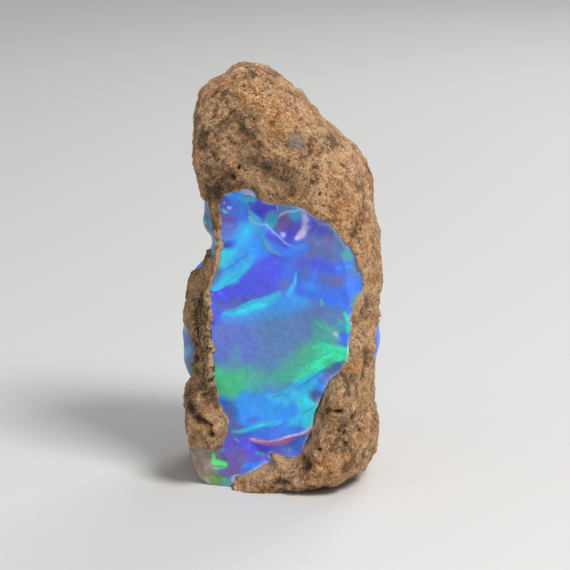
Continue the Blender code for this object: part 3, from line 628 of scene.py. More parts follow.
def tinted(points, spots):
    """How strongly a tint shows, from 0 to 1: the sum of soft round spots, frayed by noise."""
    frayed = stirred(points, TINT_FRAYING)
    total = sum(strength * bell(frayed, centre, radius) for centre, radius, strength in spots)
    return np.minimum(total, 1)


for name, spots in TINTS.items():
    store(rock, name, tinted(rock_points, spots))
# Painted shade in pits, grooves, wrinkles and flake seams
store(rock, "crevice_shade", crevice_shade)
# For painted shade in the fine relief's hollows and painted light on its highs
store(rock, "relief", fade(fine, *RELIEF_RANGE))
store(rock, "flaky", flaky)
store(rock, "smooth", smooth)
# Painted highlight along each window's rim
store(rock, "rim_highlight", fade(bare, *PALE_EDGE_BAND))


class Value:
    """An output of a shader node. Arithmetic on it adds Math nodes, so a mask reads as a formula."""

    def __init__(self, socket):
        self.socket = socket

    def math(self, operation, *others):
        tree = self.socket.id_data
        return node(tree, "Math", {"operation": operation}, dict(enumerate((self, *others))))

    def __add__(self, other):
        return self.math("ADD", other)

    def __sub__(self, other):
        return self.math("SUBTRACT", other)

    def __mul__(self, other):
        return self.math("MULTIPLY", other)

    def __rsub__(self, other):
        return node(self.socket.id_data, "Math", {"operation": "SUBTRACT"}, {0: other, 1: self})

    __radd__ = __add__
    __rmul__ = __mul__

    def ramp(self, start, end):
        """0 up to start and 1 from end on, with a smooth rise between; end may lie under start."""
        return node(self.socket.id_data, "MapRange", {"interpolation_type": "SMOOTHSTEP"},
                    {"Value": self, "From Min": start, "From Max": end})


def feed(tree, made, sockets):
    """Gives a node's sockets their values or links."""
    for key, value in sockets.items():
        if isinstance(value, Value):
            tree.links.new(value.socket, made.inputs[key])
        else:
            made.inputs[key].default_value = value


def node(tree, kind, settings=None, sockets=None, output=0):
    """A shader node: its settings first, then its sockets' values or links. Gives one output."""
    made = tree.nodes.new("ShaderNode" + kind)
    for name, setting in (settings or {}).items():
        setattr(made, name, setting)
    feed(tree, made, sockets or {})
    return Value(made.outputs[output])


def colour(red, green, blue):
    """A colour as a screen shows it, from 0 to 255, as the light that a shader works with."""
    shown = np.array([red, green, blue]) / 255
    return np.where(shown <= 0.04045, shown / 12.92, ((shown + 0.055) / 1.055) ** 2.4)


def mix(tree, factor, first, second, blend="MIX"):
    """Two colours mixed by a factor. A colour mix has its colours in sockets 6 and 7, and comes out
    of output 2."""
    first, second = (c if isinstance(c, Value) else (*c, 1) for c in (first, second))
    settings = {"data_type": "RGBA", "blend_type": blend}
    return node(tree, "Mix", settings, {0: factor, 6: first, 7: second}, 2)


def coated(tree, shade, coats):
    """A colour with others laid over it in turn, each as strongly as its mask says."""
    for mask, tint in coats:
        shade = mix(tree, mask, shade, tint)
    return shade


def read(tree, name, output="Fac"):
    """A number or colour that the mesh keeps for each vertex."""
    return node(tree, "Attribute", {"attribute_name": name}, output=output)


def millimetres(tree):
    """Object coordinates in millimetres."""
    place = node(tree, "TexCoord", output="Object")
    return node(tree, "VectorMath", {"operation": "SCALE"}, {0: place, "Scale": 1 / MM})


def new_material(name):
    """A material with its node tree and its Principled shader."""
    made = bpy.data.materials.new(name)
    made.use_nodes = True
    return made, made.node_tree, made.node_tree.nodes["Principled BSDF"]


def noise_node(tree, place, size, detail, roughness, distortion=0.0):
    """Noise from 0 to 1 with features of about the given size, in millimetres."""
    return node(tree, "TexNoise", sockets={"Vector": place, "Scale": 1 / size, "Detail": detail,
                                           "Roughness": roughness, "Distortion": distortion})


def cells(tree, place, size, output):
    """Cells of about the given size, in millimetres: their distance or their random colour."""
    return node(tree, "TexVoronoi", sockets={"Vector": place, "Scale": 1 / size}, output=output)


def channel(tree, value, index):
    """The red, green or blue of a colour."""
    return node(tree, "SeparateColor", sockets={0: value}, output=index)


def from_channels(tree, red, green, blue):
    """A colour from its red, green and blue."""
    return node(tree, "CombineColor", sockets={0: red, 1: green, 2: blue})


def bump(tree, height, strength, depth):
    """Normals of a surface that the given height dents by up to a depth in millimetres."""
    return node(tree, "Bump", sockets={"Strength": strength, "Distance": depth * MM, "Height": height})


# The near-black serves for painted shade in pits, cracks and grooves, the cream for painted glints, and
# the sand also for painted light.
TAN, SAND, ORANGE = colour(173, 130, 88), colour(234, 194, 144), colour(196, 128, 68)
PINK, DRAB, UMBER = colour(190, 143, 108), colour(142, 118, 88), colour(80, 58, 32)
OLIVE, HOLLOW_SHADE, CREAM_GLINT = colour(104, 78, 36), colour(34, 22, 14), colour(246, 234, 216)
GLASSY_GREY, GLASSY_YELLOW = colour(148, 128, 130), colour(166, 138, 84)

ROCK_NOISES = {               # size in millimetres, detail, roughness, distortion
    "broad": (2.6, 5, 0.6, 0.4), "medium": (0.95, 6, 0.65, 0.3), "grit": (0.42, 5, 0.7),
    "grain": (0.2, 3, 0.6), "blotch": (1.8, 3, 0.5, 0.3),
}
SEAM_NOISE = (1.1, 4, 0.6, 0.5)
SEAM_TURN, SEAM_STRETCH = (0.0, -0.7, 0.0), (1.0, 1.0, 1.7)     # thin cracks lean and run long
KEPT = ("stain_and_shade", "rust", "pale_and_lit", "glint_spots", "grey", "crevice_shade", "relief", "flaky", "smooth", "rim_highlight")
SPECK_SIZE, GLASSY_SIZE = 0.34, 0.22
ROCK_ROUGHNESS = 0.84
ROCK_BUMP = {"strength": 1.0, "depth": 0.6}


def rock_material():
    """Weathered rock: tan, pink and orange mottles, the stains and tints that the mesh keeps, painted
    shade in hollows, pits and cracks between lighter grains, painted light on high grains, on lumps
    marked as lit and along each window's rim, and painted glints where a grain is glassy. Each coat of
    colour has a mask from 0 to 1, times how strongly it shows."""
    made, tree, shader = new_material("weathered_rock")
    place = millimetres(tree)
    broad, medium, grit, grain, blotch = (noise_node(tree, place, *n) for n in ROCK_NOISES.values())
    stain_and_shade, rust, pale_and_lit, glint_spots, grey, crevice_shade, rise, flaky, smooth, rim_highlight = (read(tree, name) for name in KEPT)
    leaning = node(tree, "Mapping", {"vector_type": "TEXTURE"},
                   {"Vector": place, "Rotation": SEAM_TURN, "Scale": SEAM_STRETCH})
    seam = (noise_node(tree, leaning, *SEAM_NOISE) - 0.5).math("ABSOLUTE")
    crack = seam.ramp(0.022, 0.003) * blotch.ramp(0.45, 0.6)
    ground = grit * 0.5 + grain * 0.5
    uneven = medium.ramp(0.35, 0.6) * 0.5 + 0.5
    shade = mix(tree, broad.ramp(0.4, 0.62), TAN, PINK)
    shade = coated(tree, shade, [
        (blotch.ramp(0.52, 0.4) * 0.4, ORANGE),
        (medium.ramp(0.46, 0.3) * 0.6, DRAB),
        (rust * uneven, ORANGE),
        (grey * uneven * 0.7, DRAB),
        (flaky * 0.85, OLIVE),
        # Painted light on lit lumps, and paler rock
        (pale_and_lit * uneven * 0.6, SAND),
        (ground.ramp(0.5, 0.62) * 0.55, SAND),
        # Painted light on the high points of the fine relief
        (rise.ramp(0.6, 1.0) * 0.35, SAND),
    ])
    level = ground * 2.35 + medium * 1.2 + blotch * 0.6 - 0.97          # about 1 on average
    shade = mix(tree, 1.0, shade, from_channels(tree, level, level, level), "MULTIPLY")
    speck = cells(tree, place, SPECK_SIZE, "Distance").ramp(0.3, 0.14)
    specked = channel(tree, cells(tree, place, SPECK_SIZE, "Color"), 0).ramp(0.86, 0.9)
    # Glints: painted highlights on glassy grains, gathered where the mesh marks spots for them
    glassy = cells(tree, place, GLASSY_SIZE, "Distance").ramp(0.34, 0.2)
    picked = channel(tree, cells(tree, place, GLASSY_SIZE, "Color"), 1)
    painted_glint = glassy * (picked + glint_spots * 0.6).ramp(0.93, 0.98)
    inclusion = mix(tree, grit.ramp(0.48, 0.62), GLASSY_GREY, GLASSY_YELLOW)
    inclusion = mix(tree, grain.ramp(0.5, 0.36) * 0.5, inclusion, UMBER)
    shade = coated(tree, shade, [
        # Dark grains, and the stain spots: real stains in part, painted shade in part
        (ground.ramp(0.46, 0.34) * 0.8 + stain_and_shade * (medium.ramp(0.64, 0.42) * 0.45 + 0.3), UMBER),
        # Painted shade in the low points of the fine relief
        (rise.ramp(0.4, 0.0) * 0.7, UMBER),
        # Painted highlight along each window's rim
        (rim_highlight * 0.55, SAND),
        # Painted shade in thin cracks
        (crack * 0.7, HOLLOW_SHADE),
        # Painted shade in small pits
        (speck * specked * 0.7, HOLLOW_SHADE),
        # Painted glints
        (painted_glint * 0.8, CREAM_GLINT),
        (smooth * 0.75, inclusion),
        # Painted shade in pits, grooves, wrinkles and flake seams
        (crevice_shade.ramp(0.2, 0.95) * 0.9, HOLLOW_SHADE),
    ])
    rough = ROCK_ROUGHNESS - painted_glint * 0.5 - smooth * 0.35
    texture = grit * 0.65 + grain * 0.45 + medium * 0.5 - speck * 0.12 + painted_glint * 0.15 - crack * 0.25
    normal = bump(tree, texture, **ROCK_BUMP)
    feed(tree, shader, {"Base Color": shade, "Roughness": rough, "Normal": normal})
    return made


rock.data.materials.append(rock_material())
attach(rock, "root")
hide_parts("host_rock")


# ------------------------------------------------------------------------------------------------
# Precious opal. One body of hydrated silica that filled the rock's hollow: broken across, front and
# back, in shell-like scallops, and bared at the sides where the rind has come away. Its colours are
# flashes of light from ordered spheres inside it, so they lie in sheets and patches.
# ------------------------------------------------------------------------------------------------

# The scallops of each broken face: centre as (x, z), radius, depth.
FRONT_BITES = [
    ((-4.6, 26.0), 3.4, 0.55), ((-0.4, 26.6), 2.2, 0.75), ((1.9, 26.0), 1.7, 0.6),
    ((-5.0, 21.0), 4.6, 0.35), ((2.4, 21.0), 5.2, 0.45), ((-1.0, 14.6), 6.8, 0.55),
    ((0.2, 8.2), 4.6, 0.5), ((-3.0, 3.2), 3.4, 0.45), ((4.6, 17.4), 2.6, 0.35),
    ((0.6, 25.8), 1.7, 0.98), ((-2.1, 27.2), 1.3, 0.62), ((-5.4, 27.3), 0.9, 0.5),
    ((3.2, 25.2), 1.3, 0.55), ((5.0, 23.9), 1.2, 0.4), ((5.3, 22.0), 1.0, 0.5), ((-5.6, 23.4), 1.1, 0.5),
    ((5.2, 15.9), 0.9, 0.45), ((5.6, 18.9), 1.0, 0.45), ((4.0, 12.2), 1.5, 0.5), ((2.4, 9.3), 1.2, 0.6),
    ((-5.6, 7.2), 1.3, 0.35), ((-6.2, 2.4), 1.0, 0.5), ((-2.9, 2.3), 1.0, 0.55), ((1.4, 4.4), 1.2, 0.6),
]
REAR_BITES = [
    ((-6.2, 12.0), 5.0, 0.8), ((-2.0, 21.5), 5.6, 0.7), ((2.2, 14.5), 4.6, 0.6),
    ((6.4, 17.0), 3.6, 0.5), ((-6.6, 19.8), 3.4, 0.5), ((0.6, 18.4), 2.0, 0.75), ((-3.6, 15.6), 2.2, 0.7),
    ((-7.6, 23.2), 2.0, 0.7), ((-1.4, 24.8), 1.8, 0.6), ((3.8, 17.9), 1.5, 0.7), ((-8.2, 15.6), 1.8, 0.6),
]
# Steps where one scallop breaks into the next: a path from left to right as (x, z), how far the face
# drops under it, the height of the step's own facet, how soon the face rises again, and the share
# of the path over which each end fades out.
STEPS = [
    ([(-3.5, 26.9), (-2.9, 26.1), (-2.4, 25.86), (-1.65, 26.05), (-1.1, 25.5), (-0.2, 24.63),
      (0.75, 24.1), (1.6, 24.0)], 0.12, 0.2, 1.6, (0.15, 0.2)),
    ([(-2.3, 25.1), (-1.86, 24.3), (-1.0, 23.2), (-0.3, 22.9), (0.6, 22.8)], 0.26, 0.16, 1.3, (0.2, 0.3)),
    ([(-6.6, 19.0), (-5.8, 19.9), (-4.85, 20.7), (-3.9, 21.5), (-3.2, 22.3)], 0.24, 0.3, 1.4, (0.1, 0.4)),
    ([(-5.9, 16.9), (-5.0, 17.3), (-3.8, 17.9), (-2.6, 18.5), (-1.5, 19.2), (-0.6, 19.9)],
     0.3, 0.3, 2.4, (0.2, 0.4)),
    ([(0.5, 19.0), (0.8, 19.8), (0.9, 20.6), (0.8, 21.5)], 0.16, 0.2, 0.8, (0.3, 0.3)),
    ([(0.4, 9.7), (1.4, 10.5), (2.7, 11.5), (4.0, 12.5), (5.0, 13.1), (5.9, 13.7)],
     0.3, 0.25, 1.5, (0.3, 0.1)),
    ([(-1.7, 9.2), (-0.8, 9.3), (0.3, 9.8)], 0.16, 0.2, 1.0, (0.3, 0.4)),
    ([(-4.8, 5.4), (-4.1, 5.4), (-2.6, 6.0), (-0.7, 6.6)], 0.22, 0.22, 0.9, (0.2, 0.4)),
    ([(-3.5, 5.0), (-2.58, 4.84), (-1.53, 4.87), (-0.9, 5.05), (0.0, 5.25), (1.0, 5.6),
      (1.84, 6.03), (2.7, 6.7)], 1.35, 0.85, 2.6, (0.3, 0.02)),
    ([(-2.6, 3.9), (-1.6, 3.4), (-0.6, 3.0), (0.2, 2.9)], 0.25, 0.2, 0.9, (0.3, 0.1)),
    ([(-7.2, 1.4), (-6.2, 1.1), (-5.2, 1.2)], 0.2, 0.2, 0.8, (0.3, 0.3)),
]
STEP_REACH = 3                # in lengths of its rise, how far a step is worked out
FACE_RIPPLES = [(2.3, 0.07, 71), (1.0, 0.035, 72), (0.45, 0.014, 73)]      # noises
SIDE_RIPPLES = [(1.6, 0.12, 74), (0.7, 0.05, 75)]
SIDE_RIPPLE_TOP = 0.05        # how far the bared sides may bulge; they are lowered by as much first
OPAL_COLUMNS, OPAL_ROWS, OPAL_BASE_ROWS = 332, 300, 12
OPAL_CROWDING = 0.5
OPAL_TOP_SHARE = 0.76         # share of the way up at which the opal ends, under the rock's cap
CAP_ROWS = 6                  # rows that close it there
INSET = 0.25                  # how far the opal's bared sides lie behind the rock's skin
INSET_Z = (3.0, 6.0)          # z over which that comes in
TUCK = (-0.04, -0.34)         # how far past a window's edge the opal starts and ends to dive
TUCK_DEPTH = 1.8              # how deep it lies past that
TUCK_SHRINK = 0.12            # how much nearer to the upright axis it lies past that
UNDER_LIFT, UNDER_BAND = 0.3, (0.3, -0.1)     # keeps what the rock hides off the ground
PATH_STEPS = 4                # straight runs for each of a path's points


def under(path, u, v, reach):
    """For the points within reach of a smooth path that runs left to right: which they are, their
    distance to it, positive under it and negative over it, and the share of the path they lie beside."""
    smooth = spline(path, np.linspace(0, 1, PATH_STEPS * len(path) + 1))
    low, high = smooth.min(axis=0) - reach, smooth.max(axis=0) + reach
    near = (u > low[0]) & (u < high[0]) & (v > low[1]) & (v < high[1])
    points = np.stack([u[near], v[near]], axis=-1)
    nearest, share, side = np.full(len(points), np.inf), np.zeros(len(points)), np.ones(len(points))
    for i, (start, end) in enumerate(zip(smooth[:-1], smooth[1:])):
        run, away = end - start, points - start
        part = np.clip(away @ run / (run @ run), 0, 1)
        distance = np.linalg.norm(away - part[:, None] * run, axis=-1)
        closer = distance < nearest
        share = np.where(closer, (i + part) / (len(smooth) - 1), share)
        side = np.where(closer, np.where(run[0] * away[:, 1] > run[1] * away[:, 0], -1, 1), side)
        nearest = np.minimum(nearest, distance)
    return near, side * nearest, share


def broken(face, bites, steps, x, z):
    """y of a broken opal face: the plane, dug into by shell-like bites that meet in crisp ridges, and
    stepped down under each path: a short facet, then a slow rise back to the face."""
    outward = math.copysign(1, face["depth"])
    dug = np.zeros_like(x)
    for (cx, cz), radius, depth in bites:
        dug = np.maximum(dug, depth * (1 - ((x - cx) ** 2 + (z - cz) ** 2) / radius**2))
    for path, drop, facet, run, ends in steps:
        near, distance, share = under(path, x, z, STEP_REACH * run)
        taper = fade(share, 0, ends[0]) * fade(1 - share, 0, ends[1])
        rise = np.exp(-np.maximum(distance / run, 0) ** 2)
        dug[near] += drop * taper * fade(distance, 0, facet) * rise
    return break_plane(face, x) - outward * dug


around, up = surface_grid(
    OPAL_COLUMNS, OPAL_BASE_ROWS, OPAL_ROWS - CAP_ROWS, BASE_SHARE, OPAL_TOP_SHARE, OPAL_CROWDING)
form, normals = form_and_normals(around, up)
side_ripple = np.minimum(layered(form @ TURN, SIDE_RIPPLES) - SIDE_RIPPLE_TOP, SIDE_RIPPLE_TOP)
inset = INSET * fade(form[..., 2], *INSET_Z)
points = form + (relief(form) + side_ripple - inset)[..., None] * normals
ripple = layered(points @ TURN, FACE_RIPPLES)
x, y, z = np.moveaxis(points, -1, 0)
front = broken(FRONT_BREAK, FRONT_BITES, STEPS, x, z) + ripple
rear = broken(REAR_BREAK, REAR_BITES, [], x, z) + ripple
points[..., 1] = np.minimum(np.maximum(y, front), rear)
bare = bareness(points)[0]
tucked = fade(bare, *TUCK)
colour_points = points.copy()
points = sunk(points, normals, TUCK_DEPTH * tucked)
points[..., :2] += TUCK_SHRINK * tucked[..., None] * (AXIS - points[..., :2])
points[..., 2] = np.maximum(points[..., 2], UNDER_LIFT * fade(bare, *UNDER_BAND))
rim = points[-1]
shares = np.linspace(0, 1, CAP_ROWS + 1)[1:, None, None]
opal = closed_mesh("opal_body", np.concatenate([points, rim + shares * (rim.mean(axis=0) - rim)]))

AZURE, SKY, CYAN, TURQUOISE = (56, 150, 252), (82, 176, 255), (58, 226, 252), (44, 224, 226)
BLUE, DEEP, INDIGO, VIOLET = (68, 122, 240), (88, 92, 240), (82, 78, 212), (104, 90, 212)
PERIWINKLE, SLATE, SEA, TEAL = (104, 122, 210), (98, 134, 188), (52, 176, 214), (84, 172, 164)
MINT, GREEN, LEAF, MOSS = (52, 244, 180), (74, 196, 138), (78, 255, 108), (112, 160, 82)
MAUVE, PEARL, ICE, DUSK = (122, 94, 168), (228, 222, 255), (150, 200, 246), (86, 92, 178)
ASH, AMBER, GREYED, DUSTY = (142, 130, 126), (198, 192, 128), (104, 116, 182), (132, 108, 168)
SHADED = (44, 96, 132)

# Soft patches of the front face's colour: x, z, radius, tint. They blend into each other.
FRONT_PATCHES = [
    (-4.9, 28.7, 0.6, AZURE), (-3.4, 28.1, 0.5, SEA), (-3.5, 28.9, 0.45, GREYED),
    (-5.6, 27.9, 0.5, INDIGO), (-4.6, 27.5, 0.8, BLUE), (-5.2, 26.3, 0.7, VIOLET),
    (-5.4, 25.3, 0.6, PERIWINKLE), (-3.9, 26.7, 0.6, BLUE), (-2.5, 27.3, 0.7, INDIGO),
    (-1.5, 27.5, 0.6, INDIGO), (-1.2, 26.6, 0.4, SEA), (0.0, 26.3, 0.5, MAUVE), (0.8, 26.9, 0.4, SEA),
    (0.9, 25.9, 0.5, VIOLET), (0.4, 24.9, 0.5, INDIGO), (0.1, 27.6, 0.4, SLATE), (2.8, 25.9, 0.7, VIOLET),
    (2.9, 24.7, 0.8, GREYED), (4.2, 25.1, 0.7, GREYED), (3.9, 24.5, 0.5, DUSTY), (5.1, 24.2, 0.6, SLATE),
    (5.7, 23.3, 0.3, TEAL), (4.2, 23.4, 0.8, GREYED), (2.4, 23.7, 0.7, GREYED), (-3.4, 25.4, 0.7, SKY),
    (-4.0, 24.2, 0.9, SKY), (-4.9, 23.4, 0.6, BLUE), (-5.5, 22.5, 0.7, CYAN), (-3.0, 23.6, 0.9, AZURE),
    (-2.3, 24.6, 0.6, AZURE), (-1.4, 24.7, 0.4, INDIGO), (-0.6, 23.6, 0.7, BLUE), (1.1, 23.5, 0.8, BLUE),
    (-4.6, 21.8, 0.7, AZURE), (-6.3, 20.6, 0.5, SLATE), (-5.2, 20.5, 0.5, CYAN), (-1.3, 21.3, 1.2, DEEP),
    (-3.2, 19.6, 0.9, DEEP), (-5.2, 18.8, 0.9, DEEP), (-4.5, 18.2, 0.6, DUSK), (0.6, 21.5, 0.9, BLUE),
    (1.6, 22.2, 0.5, VIOLET), (3.4, 22.2, 0.6, DEEP), (1.7, 21.4, 0.5, GREYED), (3.8, 20.9, 0.6, GREYED),
    (0.0, 20.3, 0.5, GREYED), (5.2, 22.1, 0.7, BLUE), (6.4, 22.0, 0.5, SLATE), (5.0, 20.8, 0.4, DUSTY),
    (2.6, 20.7, 1.0, BLUE), (6.0, 20.2, 0.8, BLUE), (5.2, 19.2, 0.8, BLUE), (6.7, 19.3, 0.4, MOSS),
    (3.6, 19.6, 0.8, BLUE), (1.2, 19.0, 0.8, BLUE), (-0.4, 18.2, 0.8, AZURE), (2.0, 17.6, 1.0, SLATE),
    (3.3, 17.6, 0.7, GREYED), (4.6, 17.4, 0.8, SLATE), (3.4, 16.4, 0.6, TEAL), (5.8, 16.8, 0.5, SEA),
    (5.5, 15.4, 0.5, BLUE), (4.4, 15.7, 0.6, TEAL), (-1.5, 16.2, 1.6, SLATE),
    (-4.4, 15.9, 1.5, PERIWINKLE), (-6.4, 16.6, 0.5, DEEP), (-6.3, 15.0, 0.7, PERIWINKLE),
    (-5.6, 13.2, 0.9, PERIWINKLE), (-3.6, 13.8, 1.0, PERIWINKLE), (-2.0, 13.0, 1.2, SLATE),
    (0.2, 14.2, 1.3, SLATE), (0.6, 12.2, 1.0, TEAL), (2.2, 13.2, 0.9, GREEN), (3.9, 13.5, 0.7, MINT),
    (5.4, 13.9, 0.5, MINT), (-5.0, 12.2, 0.6, SLATE), (-5.4, 10.4, 1.1, GREEN), (-3.0, 10.8, 1.1, TEAL),
    (-0.8, 11.0, 1.0, TEAL), (4.4, 12.1, 0.6, SLATE), (4.7, 11.6, 0.4, MAUVE), (3.0, 10.9, 0.6, AZURE),
    (2.7, 9.6, 0.5, DUSK), (1.3, 10.2, 0.7, AZURE), (2.0, 8.9, 0.6, TURQUOISE), (-1.0, 8.6, 1.3, AZURE),
    (-3.6, 8.2, 1.0, AZURE), (-3.0, 6.8, 0.4, BLUE), (-5.4, 7.4, 0.5, GREYED), (-5.8, 8.3, 0.4, BLUE),
    (0.6, 7.2, 0.9, AZURE), (2.6, 7.6, 0.5, TURQUOISE), (1.2, 6.3, 0.5, BLUE), (-1.0, 6.1, 0.7, BLUE),
    (-2.4, 5.7, 0.6, BLUE), (-5.2, 5.9, 0.6, GREYED), (-3.2, 4.1, 0.7, DEEP), (-1.5, 3.9, 0.7, DEEP),
    (0.3, 4.2, 0.8, PERIWINKLE), (1.3, 4.7, 0.6, BLUE), (-4.9, 4.2, 0.8, VIOLET), (-4.3, 2.9, 1.0, MAUVE),
    (-2.6, 3.0, 0.6, VIOLET), (-5.6, 1.3, 0.9, MAUVE), (-7.8, 2.4, 1.0, ASH), (-8.6, 3.6, 1.0, ASH),
    (-6.7, 0.6, 0.5, MOSS), (-5.6, 0.4, 0.4, TEAL), (-3.2, 2.2, 0.6, BLUE),
]
